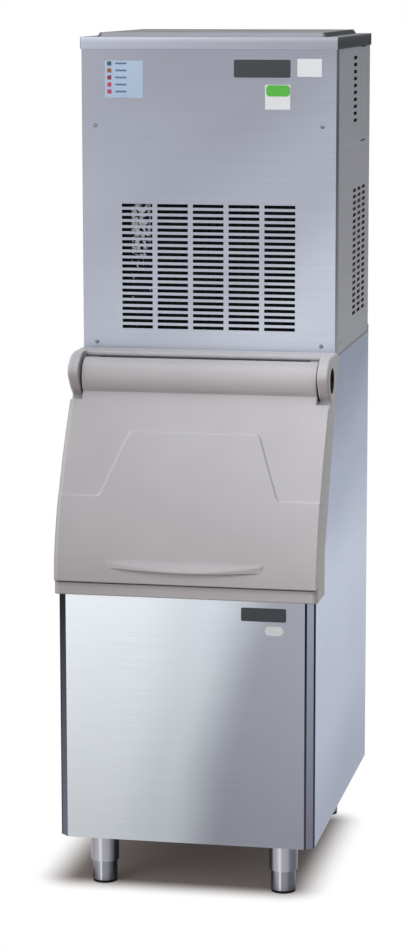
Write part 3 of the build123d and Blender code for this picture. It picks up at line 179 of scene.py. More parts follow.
def brushed_steel_with_painted_light(name, front, flank, top, grain, roughness, edge, bevels=(), bends=(), foot=1.0):
    """Stainless steel sheet with a satin brushed grain, and painted light and shade in its colour.

    front and flank each give a direction, where along it the sweep of tone starts and ends in
    metres, and its colours in even steps. The sweep is a painted reflection: the broad soft light
    and dark that a rolled sheet mirrors, painted into its colour. top is the painted tone of level
    faces, for the light that falls on them, and bevels are the painted low and high tones of
    slanting corners, painted reflections. edge is the tint of the steel where it is seen almost
    flat along its face. bends are thin dark fold lines, painted shadows: a direction, the line's
    place along it and half its width. foot is the share of its tone that the front keeps near the
    floor, against 1 from half way up the bin: painted shade towards the floor. grain is how often
    the brush lines vary in a metre, along x, y and z. Real lines are 0.1 mm wide and drawn coarser,
    so that they just show. What the eye gets is a soft painted reflection under a fine silky grain."""
    near_floor, half_way_up = 0.15, 0.65
    cloud_grain, cloud_depth = 2.6, 0.09
    bevel_turn, bevel_reach = math.sqrt(0.5), 0.12
    fold_shade_low, fold_shade_high = linear("#3E3F47"), linear("#17171B")
    line_depth = 0.045
    made, tree, shader = new_finish(name)
    place = add_node(tree, "TexCoord")
    stretched = add_node(tree, "Mapping", {"Vector": place.outputs["Object"], "Scale": grain})
    lines = add_node(tree, "TexNoise", {"Vector": stretched.outputs[0], "Scale": 1.0,
                                        "Detail": 3.0})
    clouds = add_node(tree, "TexNoise", {"Vector": place.outputs["Object"], "Scale": cloud_grain,
                                         "Detail": 1.0})
    drift = add_node(tree, "MapRange", {"Value": clouds.outputs[0], "To Min": -cloud_depth,
                                        "To Max": cloud_depth})
    # The sweeps along front and flank are painted reflections: soft light and dark laid on by
    # place.
    painted_sweeps = []
    for direction, start, end, colours in (front, flank):
        along = add_node(tree, "VectorMath", {0: place.outputs["Object"], 1: direction},
                         operation="DOT_PRODUCT")
        share = add_node(tree, "MapRange", {"Value": along.outputs["Value"], "From Min": start,
                                            "From Max": end})
        share = add_node(tree, "Math", {0: share.outputs["Result"], 1: drift.outputs["Result"]},
                         operation="ADD")
        ramp = add_node(tree, "ValToRGB", {0: share.outputs[0]})
        ramp.color_ramp.interpolation = "EASE"
        for step, colour in enumerate(colours):
            at = step / (len(colours) - 1)
            stop = ramp.color_ramp.elements[step] if step < 2 else ramp.color_ramp.elements.new(at)
            stop.position = at
            stop.color = linear(colour)
        painted_sweeps.append(ramp.outputs["Color"])
    # Painted shade: the front's tone is darker towards the floor.
    height = add_node(tree, "SeparateXYZ", {0: place.outputs["Object"]})
    height = add_node(tree, "MapRange", {"Value": height.outputs["Z"], "From Min": near_floor,
                                         "From Max": half_way_up})
    floor_shade_share = add_node(tree, "MapRange", {"Value": height.outputs["Result"], "To Min": foot})
    front_with_floor_shade = add_node(tree, "VectorMath", {0: painted_sweeps[0], 1: floor_shade_share.outputs["Result"]},
                     operation="MULTIPLY")
    # Faces turned to the sides take the flank's painted sweep, and level faces the painted top
    # tone.
    facing = add_node(tree, "NewGeometry")
    turned = add_node(tree, "SeparateXYZ", {0: facing.outputs["Normal"]})
    sideways = add_node(tree, "Math", {0: turned.outputs["X"]}, operation="ABSOLUTE")
    sideways = add_node(tree, "MapRange", {"Value": sideways.outputs[0], "From Min": 0.6,
                                           "From Max": 0.9})
    upwards = add_node(tree, "MapRange", {"Value": turned.outputs["Z"], "From Min": 0.3,
                                          "From Max": 0.6})
    tone = add_node(tree, "Mix", {0: sideways.outputs["Result"], 6: front_with_floor_shade.outputs[0], 7: painted_sweeps[1]},
                    data_type="RGBA")
    tone = add_node(tree, "Mix", {0: upwards.outputs["Result"], 6: tone.outputs[2], 7: linear(top)},
                    data_type="RGBA")
    # Painted reflections on the slanting corners, their tone changing with height.
    for turn, (low, high) in zip((-bevel_turn, bevel_turn), bevels):
        corner = add_node(tree, "Mix", {0: height.outputs["Result"], 6: linear(low),
                                        7: linear(high)}, data_type="RGBA")
        slanted = add_node(tree, "Math", {0: turned.outputs["X"], 1: turn, 2: bevel_reach},
                           operation="COMPARE")
        tone = add_node(tree, "Mix", {0: slanted.outputs[0], 6: tone.outputs[2],
                                      7: corner.outputs[2]}, data_type="RGBA")
    # Painted shadows: thin dark lines along the folds, darker higher up.
    fold_shade = add_node(tree, "Mix", {0: height.outputs["Result"], 6: fold_shade_low, 7: fold_shade_high},
                      data_type="RGBA")
    for direction, line, reach in bends:
        along = add_node(tree, "VectorMath", {0: place.outputs["Object"], 1: direction},
                         operation="DOT_PRODUCT")
        folded = add_node(tree, "Math", {0: along.outputs["Value"], 1: line, 2: reach},
                          operation="COMPARE")
        tone = add_node(tree, "Mix", {0: folded.outputs[0], 6: tone.outputs[2],
                                      7: fold_shade.outputs[2]}, data_type="RGBA")
    streak = add_node(tree, "MapRange", {"Value": lines.outputs[0], "From Min": 0.3,
                                         "From Max": 0.7, "To Min": 1 - line_depth,
                                         "To Max": 1 + line_depth})
    colour = add_node(tree, "VectorMath", {0: tone.outputs[2], 1: streak.outputs["Result"]},
                      operation="MULTIPLY")
    tree.links.new(colour.outputs[0], shader.inputs["Base Color"])
    worn = add_node(tree, "MapRange", {"Value": lines.outputs[0], "From Min": 0.3, "From Max": 0.7,
                                       "To Min": roughness - 0.04, "To Max": roughness + 0.05})
    tree.links.new(worn.outputs["Result"], shader.inputs["Roughness"])
    relief = add_node(tree, "Bump", {"Height": lines.outputs[0], "Strength": 0.05,
                                     "Distance": 0.0002})
    tree.links.new(relief.outputs[0], shader.inputs["Normal"])
    shader.inputs["Metallic"].default_value = 1.0
    shader.inputs["Specular Tint"].default_value = linear(edge)
    return made


rightward, rearward, upright = (1.0, 0.0, 0.0), (0.0, 1.0, 0.0), (0.0, 0.0, 1.0)
level_grain = (5.0, 5.0, 1100.0)  # dashes 200 mm long and 0.9 mm high
bin_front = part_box("bin_shell")[0].y
bin_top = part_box("bin_shell")[1].z
# Painted reflections: the front is painted pale at its left and top and greyer to its right, and
# the sides bluish, darkest at the top.
wrapper_front_reflection = ((1.0, 0.0, -0.2), -0.4, 0.22,
                 ("#E6EBF1", "#E3E8EE", "#D2D8DF", "#9FA2AD", "#A4A7B3"))
wrapper_flank_reflection = (upright, 0.15, 1.15, ("#A0A9BD", "#C1C9DD", "#CED6E8", "#A9B2C8", "#737E96"))
# The bevels are painted dark on the left and paler on the right, painted reflections, and thin dark
# lines are painted at the bevels' edges and round the top edge: painted shadows.
wrapper_bevel_reflections = (("#686A79", "#1C1D22"), ("#70717F", "#949BAF"))
wrapper_fold_shadows = ((rightward, 0.2615, 0.0023), (rearward, bin_front + 0.0175, 0.003),
                 (upright, bin_top, 0.004))
# Towards the floor the front is painted darker, to 0.7 of its tone: painted shade.
wrapper_steel = brushed_steel_with_painted_light("brushed stainless steel, wrapper", wrapper_front_reflection, wrapper_flank_reflection,
                              top="#A9ADB6", grain=level_grain, roughness=0.3, edge="#D8DADF",
                              bevels=wrapper_bevel_reflections, bends=wrapper_fold_shadows, foot=0.7)
put_on(wrapper_steel, "bin_shell", "bin_top_deck")


# Rear and bottom panels of the bin: galvanised steel sheet, riveted inside the wrapper.
# Zinc freezes in flat crystals, which give the grey sheet its soft patchwork.
def galvanised_steel(name, bright, dull, spangle):
    """Zinc coated sheet; spangle is the width of its crystals in metres, 9 mm on such panels."""
    made, tree, shader = new_finish(name)
    place = add_node(tree, "TexCoord")
    crystals = add_node(tree, "TexVoronoi", {"Vector": place.outputs["Object"],
                                             "Scale": 1 / spangle})
    shade = add_node(tree, "SeparateColor", {0: crystals.outputs["Color"]})
    colour = add_node(tree, "Mix", {0: shade.outputs[0], 6: linear(dull), 7: linear(bright)},
                      data_type="RGBA")
    tree.links.new(colour.outputs[2], shader.inputs["Base Color"])
    worn = add_node(tree, "MapRange", {"Value": shade.outputs[1], "To Min": 0.36, "To Max": 0.52})
    tree.links.new(worn.outputs["Result"], shader.inputs["Roughness"])
    shader.inputs["Metallic"].default_value = 1.0
    return made


zinc_sheet = galvanised_steel("galvanised steel sheet", "#AEB2B6", "#9FA4A9", spangle=0.009)
put_on(zinc_sheet, "bin_rear_panel", "bin_bottom_panel")


# Rear trim: a black extruded rubber strip pressed over the wrapper's edge behind the head.
# Foam and liner: polyurethane foam blown between the wrapper and a white moulded liner.
def moulded_plastic(name, light, deep, roughness, grain, depth, gloss=0.5):
    """Moulded plastic or rubber: an even colour under a fine texture cast from the tool.

    grain and depth are the size of that texture in metres; gloss is its specular level. The real
    texture is about 0.1 mm wide and drawn coarser, so that it takes the hardness off highlights."""
    cloud_grain = 6.0  # clouds of 170 mm
    made, tree, shader = new_finish(name)
    place = add_node(tree, "TexCoord")
    flow = add_node(tree, "TexNoise", {"Vector": place.outputs["Object"], "Scale": cloud_grain,
                                       "Detail": 3.0})
    tone = add_node(tree, "MapRange", {"Value": flow.outputs[0], "From Min": 0.3, "From Max": 0.7})
    colour = add_node(tree, "Mix", {0: tone.outputs["Result"], 6: linear(deep), 7: linear(light)},
                      data_type="RGBA")
    tree.links.new(colour.outputs[2], shader.inputs["Base Color"])
    texture = add_node(tree, "TexNoise", {"Vector": place.outputs["Object"], "Scale": 1 / grain,
                                          "Detail": 2.0})
    worn = add_node(tree, "MapRange", {"Value": texture.outputs[0], "From Min": 0.3,
                                       "From Max": 0.7, "To Min": roughness - 0.04,
                                       "To Max": roughness + 0.06})
    tree.links.new(worn.outputs["Result"], shader.inputs["Roughness"])
    relief = add_node(tree, "Bump", {"Height": texture.outputs[0], "Strength": 0.35,
                                     "Distance": depth})
    tree.links.new(relief.outputs[0], shader.inputs["Normal"])
    shader.inputs["Specular IOR Level"].default_value = gloss
    return made


# Rubber is matt and nearly black, foam is a dull cream, and polythene is white with a waxy shine.
black_rubber = moulded_plastic("black EPDM rubber", "#1E1E20", "#131315", roughness=0.75,
                               grain=0.0016, depth=0.0002, gloss=0.15)
put_on(black_rubber, "rear_trim", "compressor_grommets")
cream_foam = moulded_plastic("blown polyurethane foam", "#E3D3A2", "#CDB67D", roughness=0.85,
                             grain=0.0025, depth=0.0012, gloss=0.2)
put_on(cream_foam, "bin_foam", "barrel_jacket")
white_liner = moulded_plastic("white moulded polythene", "#ECEDEA", "#E2E4E0", roughness=0.38,
                              grain=0.003, depth=0.0001)
put_on(white_liner, "bin_liner", "door_inner_panel")


# Legs: stainless tubes with welded plates, and adjustable feet on threaded stems over black pads.
# The tubes are drawn and lightly polished; soft upright streaks of light and dark are painted round
# them, a painted reflection.
def drawn_tube_with_painted_streaks(name, tones, roughness):
    """Upright stainless tube with a bright soft streak painted on, a painted reflection as a
    polished cylinder shows it.

    tones are its painted streaks round the tube, by which way each face turns, from the machine's
    left to its right. Its drawing lines are 2 mm apart here, where real ones are 0.1 mm."""
    drawn_grain, line_depth = (500.0, 500.0, 6.0), 0.04
    made, tree, shader = new_finish(name)
    facing = add_node(tree, "NewGeometry")
    turned = add_node(tree, "SeparateXYZ", {0: facing.outputs["Normal"]})
    share = add_node(tree, "MapRange", {"Value": turned.outputs["X"], "From Min": -1.0,
                                        "From Max": 1.0})
    ramp = add_node(tree, "ValToRGB", {0: share.outputs["Result"]})
    for step, (at, colour) in enumerate(tones):
        stop = ramp.color_ramp.elements[step] if step < 2 else ramp.color_ramp.elements.new(at)
        stop.position = at
        stop.color = linear(colour)
    place = add_node(tree, "TexCoord")
    stretched = add_node(tree, "Mapping", {"Vector": place.outputs["Object"], "Scale": drawn_grain})
    lines = add_node(tree, "TexNoise", {"Vector": stretched.outputs[0], "Scale": 1.0,
                                        "Detail": 3.0})
    streak = add_node(tree, "MapRange", {"Value": lines.outputs[0], "From Min": 0.3,
                                         "From Max": 0.7, "To Min": 1 - line_depth,
                                         "To Max": 1 + line_depth})
    colour = add_node(tree, "VectorMath", {0: ramp.outputs["Color"], 1: streak.outputs["Result"]},
                      operation="MULTIPLY")
    tree.links.new(colour.outputs[0], shader.inputs["Base Color"])
    shader.inputs["Metallic"].default_value = 1.0
    shader.inputs["Roughness"].default_value = roughness
    return made


leg_names = [f"leg_{end}_{side}" for end in ("front", "rear") for side in ("left", "right")]
# Painted reflection round the legs: light and dark streaks by which way each face turns.
leg_painted_streaks = ((0.0, "#77777D"), (0.2, "#96969D"), (0.36, "#ABAAB2"), (0.45, "#D6D6DD"),
             (0.53, "#A2A2AB"), (0.72, "#9898A2"), (0.82, "#6A6A76"), (1.0, "#5A5D69"))
leg_steel = drawn_tube_with_painted_streaks("drawn stainless steel tube", leg_painted_streaks, roughness=0.24)
put_on(leg_steel, *leg_names)
# The feet are painted darker, with a narrower painted highlight.
foot_painted_streaks = ((0.0, "#6A6B72"), (0.3, "#8B8B94"), (0.4, "#A5A5AE"), (0.45, "#E0E0E8"),
              (0.51, "#86868F"), (0.7, "#7E8089"), (0.8, "#5A5C66"), (1.0, "#55575F"))
foot_steel = drawn_tube_with_painted_streaks("turned stainless steel foot", foot_painted_streaks, roughness=0.2)
put_on(foot_steel, *[name.replace("leg", "foot") for name in leg_names])
put_on(black_rubber, *[name.replace("leg", "pad") for name in leg_names])


# Hood and door: grey ABS, injection moulded, with a fine spark-eroded texture and a soft sheen.
# The door turns on two black nylon pins in the hood's cheeks.
abs_look = {"light": "#BBB9BD", "deep": "#B4B2B6", "roughness": 0.38, "grain": 0.0018,
            "depth": 0.00012, "gloss": 0.25}
grey_abs = moulded_plastic("moulded grey ABS", **abs_look)
hood_abs = moulded_plastic("moulded grey ABS, hood", **abs_look)
put_on(grey_abs, "door_shell")
put_on(hood_abs, "hood_frame")

# Painted light and shade: its grey is painted paler towards the machine's right and brighter
# overall, and darker on faces turned well to either side, most to the right. Every moulded edge has
# a small radius, which softens the shading; along the raised field and every edge the rounding is
# painted lighter where it turns up and to the left and darker where it turns down and to the right.
edge_radius = 0.004
edge_light = (-0.25, 0.0, 0.42)
paler_from, paler_to, half_width, painted_light_lift = 0.92, 1.14, 0.28, 1.33
painted_turn_shades = ((0.0, 0.7), (0.2, 1.1), (0.42, 1.0), (0.49, 0.84), (0.51, 0.82), (0.6, 0.7),
               (0.8, 0.6), (0.95, 0.46))
for finish in (grey_abs, hood_abs):
    tree = finish.node_tree
    shader = tree.nodes["Principled BSDF"]
    moulded = shader.inputs["Base Color"].links[0].from_socket
    place = add_node(tree, "TexCoord")
    split = add_node(tree, "SeparateXYZ", {0: place.outputs["Object"]})
    # Painted light: paler towards the machine's right, and lifted overall.
    painted_light_sweep = add_node(tree, "MapRange", {"Value": split.outputs["X"], "From Min": -half_width,
                                        "From Max": half_width,
                                        "To Min": paler_from * painted_light_lift,
                                        "To Max": paler_to * painted_light_lift})
    rounded = add_node(tree, "Bevel", {"Radius": edge_radius}, samples=8)
    tree.links.new(rounded.outputs[0], shader.inputs["Normal"].links[0].from_node.inputs["Normal"])
    turned = add_node(tree, "SeparateXYZ", {0: rounded.outputs[0]})
    turned = add_node(tree, "MapRange", {"Value": turned.outputs["X"], "From Min": -1.0,
                                         "From Max": 1.0})
    # Painted shade by which way each face turns: deeper on faces turned to the sides.
    ramp = add_node(tree, "ValToRGB", {0: turned.outputs["Result"]})
    for step, (at, share) in enumerate(painted_turn_shades):
        stop = ramp.color_ramp.elements[step] if step < 2 else ramp.color_ramp.elements.new(at)
        stop.position = at
        stop.color = (share, share, share, 1.0)
    # Painted highlight and shade along each rounded edge.
    flat = add_node(tree, "NewGeometry")
    painted_edge_shading = add_node(tree, "VectorMath", {0: rounded.outputs[0], 1: flat.outputs["Normal"]},
                     operation="SUBTRACT")
    painted_edge_shading = add_node(tree, "VectorMath", {0: painted_edge_shading.outputs[0], 1: edge_light},
                     operation="DOT_PRODUCT")
    painted_edge_shading = add_node(tree, "MapRange", {"Value": painted_edge_shading.outputs["Value"], "From Min": -0.5,
                                        "From Max": 0.5, "To Min": 0.5, "To Max": 1.5})
    shaded = add_node(tree, "Math", {0: painted_light_sweep.outputs["Result"], 1: ramp.outputs["Color"]},
                      operation="MULTIPLY")
    shaded = add_node(tree, "Math", {0: shaded.outputs[0], 1: painted_edge_shading.outputs["Result"]},
                      operation="MULTIPLY")
    colour = add_node(tree, "VectorMath", {0: moulded, 1: shaded.outputs[0]}, operation="MULTIPLY")
    tree.links.new(colour.outputs[0], shader.inputs["Base Color"])

# The pins lie sunk in bores through the cheeks. Within 28.5 mm of the hinge axis the hood is
# painted near black, painted shade for the deep bores. The pins' nylon has a dull waxy shine.
hinge_axis, off_axis, bore_radius = (0.0, -0.199, 1.113), (0.0, 1.0, 1.0), 0.0285
tree = hood_abs.node_tree
shader = tree.nodes["Principled BSDF"]
moulded = shader.inputs["Base Color"].links[0].from_socket
place = add_node(tree, "TexCoord")
from_axis = add_node(tree, "VectorMath", {0: place.outputs["Object"], 1: hinge_axis},
                     operation="SUBTRACT")
from_axis = add_node(tree, "VectorMath", {0: from_axis.outputs[0], 1: off_axis},
                     operation="MULTIPLY")
from_axis = add_node(tree, "VectorMath", {0: from_axis.outputs[0]}, operation="LENGTH")
in_bore_shade = add_node(tree, "Math", {0: from_axis.outputs["Value"], 1: bore_radius},
                 operation="LESS_THAN")
colour = add_node(tree, "Mix", {0: in_bore_shade.outputs[0], 6: moulded, 7: linear("#0B0B0C")},
                  data_type="RGBA")
tree.links.new(colour.outputs[2], shader.inputs["Base Color"])
black_nylon = moulded_plastic("black moulded nylon", "#1E1E20", "#151516", roughness=0.6,
                              grain=0.002, depth=0.0001, gloss=0.15)
put_on(black_nylon, "hinge_pin_left", "hinge_pin_right")


# Drain fitting under the bin: where the melted ice leaves. It is moulded in the liner's white
# polythene and screwed into its sump.
put_on(white_liner, "bin_drain_fitting")


# Head casing: a brushed stainless front and lid, each folded from one sheet, and satin steel
# sides. Inside are galvanised posts, a rail and the base pan.
head_foot, head_top = 1.16, 1.84
# Painted reflection: the front is painted darker towards its top and its left; its folded returns
# are painted darker higher up, painted shade.
front_painted_reflection = ((-0.8, 0.0, 1.0), 1.04, 1.94, ("#BCC1CD", "#A1A5B1", "#8F929D", "#858892"))
front_returns_painted_shade = (upright, head_foot, head_top, ("#C8C9CE", "#9A9BA0", "#77787D", "#8A8E95"))
front_steel = brushed_steel_with_painted_light("brushed stainless steel, front", front_painted_reflection, front_returns_painted_shade,
                            top="#A8ABB4", grain=level_grain, roughness=0.32, edge="#868686")
put_on(front_steel, "head_front_panel")

# The side sheets have a duller satin finish, so they mirror less. Their tone is painted darker
# towards the top, painted shade for the dimmer light on the machine's sides.
side_painted_shade = (upright, head_foot, head_top, ("#A6A7AF", "#9A9CA3", "#8A8E95"))
side_flank_painted_shade = (upright, head_foot, head_top, ("#B4B6BC", "#A9ABB2", "#A0A2A9"))
side_steel = brushed_steel_with_painted_light("satin stainless steel, sides", side_painted_shade, side_flank_painted_shade, top="#8E8E95",
                           grain=level_grain, roughness=0.4, edge="#A6A6A6")
put_on(side_steel, "head_right_panel", "head_left_panel")

# The lid's brush lines run from side to side. Its folded skirt is painted brighter towards its
# fold, a painted highlight, and its top is painted in dim tones, a painted reflection of the room.
lid_grain = (5.0, 1100.0, 1100.0)
skirt_foot = 1.816
skirt_front_highlight = (upright, skirt_foot, 1.842, ("#9396A0", "#9598A2", "#ACB0BC"))
skirt_flank_highlight = (upright, skirt_foot, 1.846, ("#787A7E", "#727479", "#7C7E83", "#BFC1C8"))
lid_steel = brushed_steel_with_painted_light("brushed stainless steel, lid", skirt_front_highlight, skirt_flank_highlight, top="#6B6C73",
                          grain=lid_grain, roughness=0.34, edge="#6C6C6C")
put_on(lid_steel, "head_top_lid")
lid_top_painted_tone = (upright, head_foot, head_top, ("#8A8C93", "#8A8C93"))
lid_top_steel = brushed_steel_with_painted_light("brushed stainless steel, lid top", lid_top_painted_tone, lid_top_painted_tone,
                              top="#8A8C93", grain=lid_grain, roughness=0.34, edge="#A0A0A0")
# Faces that look straight up take a second material, painted a paler grey than the top's slopes:
# painted reflection.
facing_up = 0.95
nodes["head_top_lid"].data.materials.append(lid_top_steel)
for face in nodes["head_top_lid"].data.polygons:
    face.material_index = int(face.normal.z > facing_up)
put_on(zinc_sheet, "head_rear_panel", "head_base_pan", "corner_posts", "cross_rail")


# Screws in the front: pan heads of bright plated steel, one near each corner.
# They hold the front panel to the posts behind it.
def bare_metal(name, bright, dull, roughness, patch, metallic=1.0):
    """Metal with patches of tarnish or casting skin, or a thin paint on it; on the screws' heads
    the patches are painted shade and painted glints.

    patch is their size in metres; where the tone is dull, the surface is rougher too."""
    made, tree, shader = new_finish(name)
    place = add_node(tree, "TexCoord")
    skin = add_node(tree, "TexNoise", {"Vector": place.outputs["Object"], "Scale": 1 / patch,
                                       "Detail": 4.0})
    tone = add_node(tree, "MapRange", {"Value": skin.outputs[0], "From Min": 0.3, "From Max": 0.7})
    colour = add_node(tree, "Mix", {0: tone.outputs["Result"], 6: linear(dull), 7: linear(bright)},
                      data_type="RGBA")
    tree.links.new(colour.outputs[2], shader.inputs["Base Color"])
    worn = add_node(tree, "MapRange", {"Value": skin.outputs[0], "From Min": 0.3, "From Max": 0.7,
                                       "To Min": roughness + 0.1, "To Max": roughness - 0.05})
    tree.links.new(worn.outputs["Result"], shader.inputs["Roughness"])
    relief = add_node(tree, "Bump", {"Height": skin.outputs[0], "Strength": 0.2,
                                     "Distance": 0.0003})
    tree.links.new(relief.outputs[0], shader.inputs["Normal"])
    shader.inputs["Metallic"].default_value = metallic
    return made


# Nickel plate is bright; on such small round heads it is painted in patches from near black to
# pale, painted shade with painted glints.
screw_shade_and_glints = bare_metal("nickel plated steel", "#A4A6AA", "#1A1C1F", roughness=0.22, patch=0.0035)
put_on(screw_shade_and_glints, "front_panel_screws")


# Indicator label: a printed pale blue plate with five square lenses that stand through it.
# Badges are moulded plates and labels are vinyl film, all bare and glued flat to the steel.
def plate(name, centre, size, thick, corner, finish):
    """A thin plate with rounded corners on an upright face that looks to the front; metres."""
    shape = bmesh.new()
    outline = []
    corner_steps = 6
    for quarter, (side, rise) in enumerate(((1, 1), (-1, 1), (-1, -1), (1, -1))):
        for step in range(corner_steps + 1):
            angle = math.pi / 2 * (quarter + step / corner_steps)
            outline.append((centre[0] + side * (size[0] / 2 - corner) + corner * math.cos(angle),
                            centre[2] + rise * (size[1] / 2 - corner) + corner * math.sin(angle)))
    back = [shape.verts.new((x, centre[1], z)) for x, z in outline]
    front = [shape.verts.new((x, centre[1] - thick, z)) for x, z in outline]
    shape.faces.new(front)
    shape.faces.new(back[::-1])
    for i in range(len(outline)):
        j = (i + 1) % len(outline)
        shape.faces.new((front[j], front[i], back[i], back[j]))
    bmesh.ops.recalc_face_normals(shape, faces=shape.faces)
    mesh = bpy.data.meshes.new(name)
    shape.to_mesh(mesh)
    shape.free()
    mesh.materials.append(finish)
    made = bpy.data.objects.new(name, mesh)
    bpy.context.scene.collection.objects.link(made)
    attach(made, "cabinet")


# Vinyl film has an even colour and a slight sheen; the badges' dark plastic is a little glossier.
head_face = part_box("head_front_panel")[0].y
film, badge = 0.0003, 0.0015
film_relief = 0.00005
pale_blue = moulded_plastic("pale blue printed vinyl", "#BCD0E8", "#B0C8E2", roughness=0.45,
                            grain=0.004, depth=film_relief)
plate("indicator_label", (-0.186, head_face, 1.751), (0.084, 0.080), film, 0.002, pale_blue)
dark_badge = moulded_plastic("dark grey moulded badge", "#33363D", "#2A2C32", roughness=0.35,
                             grain=0.004, depth=film_relief)
plate("head_badge", (0.1185, head_face, 1.775), (0.123, 0.038), badge, 0.003, dark_badge)
white_vinyl = moulded_plastic("white printed vinyl", "#EDF1F6", "#E6EAF0", roughness=0.4,
                              grain=0.004, depth=film_relief)
plate("upper_sticker", (0.2215, head_face, 1.777), (0.053, 0.038), film, 0.001, white_vinyl)
plate("lower_sticker", (0.1525, head_face, 1.7145), (0.055, 0.053), film, 0.001, white_vinyl)
green_vinyl = moulded_plastic("green printed vinyl", "#5DC04A", "#52B540", roughness=0.4,
                              grain=0.004, depth=film_relief)
plate("sticker_colour_field", (0.1535, head_face - film, 1.728), (0.052, 0.024), film, 0.008,
      green_vinyl)
plate("bin_badge", (0.1705, bin_front, 0.6345), (0.097, 0.029), badge, 0.003, dark_badge)
plate("bin_sticker", (0.193, bin_front, 0.600), (0.040, 0.020), film, 0.0099, white_vinyl)

# The lenses are tinted acrylic, from the top down teal, amber and three reds, deep and glossy.
lens_foot, lens_step = 1.7171, 0.0151
lens_tints = ("#B92D45", "#C42F4A", "#8E1F3A", "#9A5A14", "#1E5468")
lens_colours, tree, shader = new_finish("tinted acrylic lenses")
place = add_node(tree, "TexCoord")
split = add_node(tree, "SeparateXYZ", {0: place.outputs["Object"]})
row = add_node(tree, "MapRange", {"Value": split.outputs["Z"], "From Min": lens_foot,
                                  "From Max": lens_foot + len(lens_tints) * lens_step})
tints = add_node(tree, "ValToRGB", {0: row.outputs["Result"]})
tints.color_ramp.interpolation = "CONSTANT"
for step, colour in enumerate(lens_tints):
    at = step / len(lens_tints)
    stop = tints.color_ramp.elements[step] if step < 2 else tints.color_ramp.elements.new(at)
    stop.position = at
    stop.color = linear(colour)
tree.links.new(tints.outputs["Color"], shader.inputs["Base Color"])
shader.inputs["Roughness"].default_value = 0.15
put_on(lens_colours, "indicator_lenses")

# Beside each lens a short plain bar is printed on the pale blue film.
bar_middle, bar_half, bar_share = -0.1925, 0.0125, 0.13
tree = pale_blue.node_tree
shader = tree.nodes["Principled BSDF"]
vinyl = shader.inputs["Base Color"].links[0].from_socket
place = add_node(tree, "TexCoord")
split = add_node(tree, "SeparateXYZ", {0: place.outputs["Object"]})
row = add_node(tree, "MapRange", {"Value": split.outputs["Z"], "From Min": lens_foot,
                                  "From Max": lens_foot + lens_step}, clamp=False)
within = add_node(tree, "Math", {0: row.outputs["Result"]}, operation="FRACT")
inked = add_node(tree, "Math", {0: within.outputs[0], 1: 0.5, 2: bar_share}, operation="COMPARE")
beside = add_node(tree, "Math", {0: split.outputs["X"], 1: bar_middle, 2: bar_half},
                  operation="COMPARE")
inked = add_node(tree, "Math", {0: inked.outputs[0], 1: beside.outputs[0]}, operation="MULTIPLY")
colour = add_node(tree, "Mix", {0: inked.outputs[0], 6: vinyl, 7: linear("#5C6F92")},
                  data_type="RGBA")
tree.links.new(colour.outputs[2], shader.inputs["Base Color"])


# Freezing barrel: a stainless cylinder in foam, with the auger, the ice breaker, and the cast gear
# motor under it. Turned steel is brighter than the casing, and the motor's thin paint lets the
# rough iron show through.
inner_tones = (upright, head_foot, head_top, ("#B7BBC1", "#C6CACF"))
inner_steel = brushed_steel_with_painted_light("turned stainless steel", inner_tones, inner_tones, top="#C6CACF",
                            grain=level_grain, roughness=0.28, edge="#FFFFFF")
put_on(inner_steel, "freezing_barrel", "auger", "ice_breaker", "level_sensors")
put_on(white_liner, "ice_chute")
cast_iron = bare_metal("painted cast iron", "#5B6068", "#464A51", roughness=0.5, patch=0.003,
                       metallic=0.4)
put_on(cast_iron, "gear_motor")


# Cooling set: black painted compressor on rubber mounts, finned condenser, fan on a wire bracket.
# Copper lines and a copper drier join them.
# Stove enamel is black with a soft shine, and pressed aluminium is pale and satin.
black_paint = bare_metal("black stove enamel", "#26282B", "#1A1B1D", roughness=0.35, patch=0.02,
                         metallic=0.0)
put_on(black_paint, "compressor", "fan_motor", "fan_bracket", "fan_shroud")
fan_aluminium = bare_metal("pressed aluminium", "#D0D2D4", "#B4B6B9", roughness=0.35, patch=0.01)
put_on(fan_aluminium, "fan_blades")

# The condenser's aluminium fins stand 2.2 mm apart and are painted nearly black between their
# edges, painted shade inside the coil. Behind the slots on the machine's left small bright patches
# are painted on some of them, painted glints where they catch the light.
fin_pitch = 0.0022
patch_grain = 110.0  # patches of 9 mm
patch_middle, patch_half = -0.153, 0.021
patch_foot, patch_top = 1.28, 1.44
fins, tree, shader = new_finish("aluminium fins on copper tube")
place = add_node(tree, "TexCoord")
split = add_node(tree, "SeparateXYZ", {0: place.outputs["Object"]})
ripple = add_node(tree, "Math", {0: split.outputs["X"], 1: 2 * math.pi / fin_pitch},
                  operation="MULTIPLY")
ripple = add_node(tree, "Math", {0: ripple.outputs[0]}, operation="SINE")
edge = add_node(tree, "MapRange", {"Value": ripple.outputs[0], "From Min": -0.4, "From Max": 0.6})
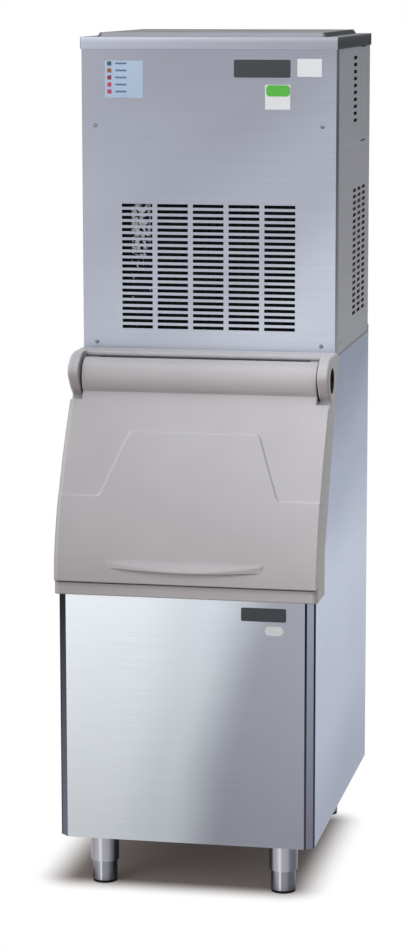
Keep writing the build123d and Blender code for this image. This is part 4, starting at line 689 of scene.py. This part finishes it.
# Painted shade: the fins are near black, a little lighter at their edges.
colour = add_node(tree, "Mix", {0: edge.outputs["Result"], 6: linear("#060607"),
                                7: linear("#26272A")}, data_type="RGBA")
painted_glints = add_node(tree, "TexNoise", {"Vector": place.outputs["Object"], "Scale": patch_grain,
                                      "Detail": 2.0})
lift = add_node(tree, "MapRange", {"Value": split.outputs["Z"], "From Min": patch_foot,
                                   "From Max": patch_top, "To Min": -0.22, "To Max": 0.05})
lit = add_node(tree, "Math", {0: painted_glints.outputs[0], 1: lift.outputs["Result"]}, operation="ADD")
lit = add_node(tree, "Math", {0: lit.outputs[0], 1: 0.5}, operation="GREATER_THAN")
beside = add_node(tree, "Math", {0: split.outputs["X"], 1: patch_middle, 2: patch_half},
                  operation="COMPARE")
lit = add_node(tree, "Math", {0: lit.outputs[0], 1: beside.outputs[0]}, operation="MULTIPLY")
colour = add_node(tree, "Mix", {0: lit.outputs[0], 6: colour.outputs[2], 7: linear("#F2F4F7")},
                  data_type="RGBA")
tree.links.new(colour.outputs[2], shader.inputs["Base Color"])
relief = add_node(tree, "Bump", {"Height": ripple.outputs[0], "Strength": 0.6, "Distance": 0.001})
tree.links.new(relief.outputs[0], shader.inputs["Normal"])
shader.inputs["Metallic"].default_value = 0.8
shader.inputs["Roughness"].default_value = 0.45
put_on(fins, "condenser_core")

# Drawn copper is warm and bright, with duller spots where it has been handled.
copper = bare_metal("drawn copper tube", "#D69A78", "#A8623F", roughness=0.3, patch=0.02)
put_on(copper, "copper_lines", "filter_drier")


# Water side: a white moulded reservoir with its lid, float arm and drain spigot, a brass inlet, and
# a black hose pushed on. Turned brass looks yellow and bright, and a little tarnished.
put_on(white_liner, "water_tank", "tank_lid", "float_arm", "drain_spigot")
brass = bare_metal("turned brass", "#D9BC74", "#B08E45", roughness=0.28, patch=0.01)
put_on(brass, "water_inlet")
put_on(black_rubber, "water_hose")


# Controls: a folded box of zinc coated steel with its cover, hidden behind the head's panels, and a
# gland of black nylon where the supply comes in.
put_on(zinc_sheet, "control_box", "control_cover")
put_on(black_nylon, "cord_gland")
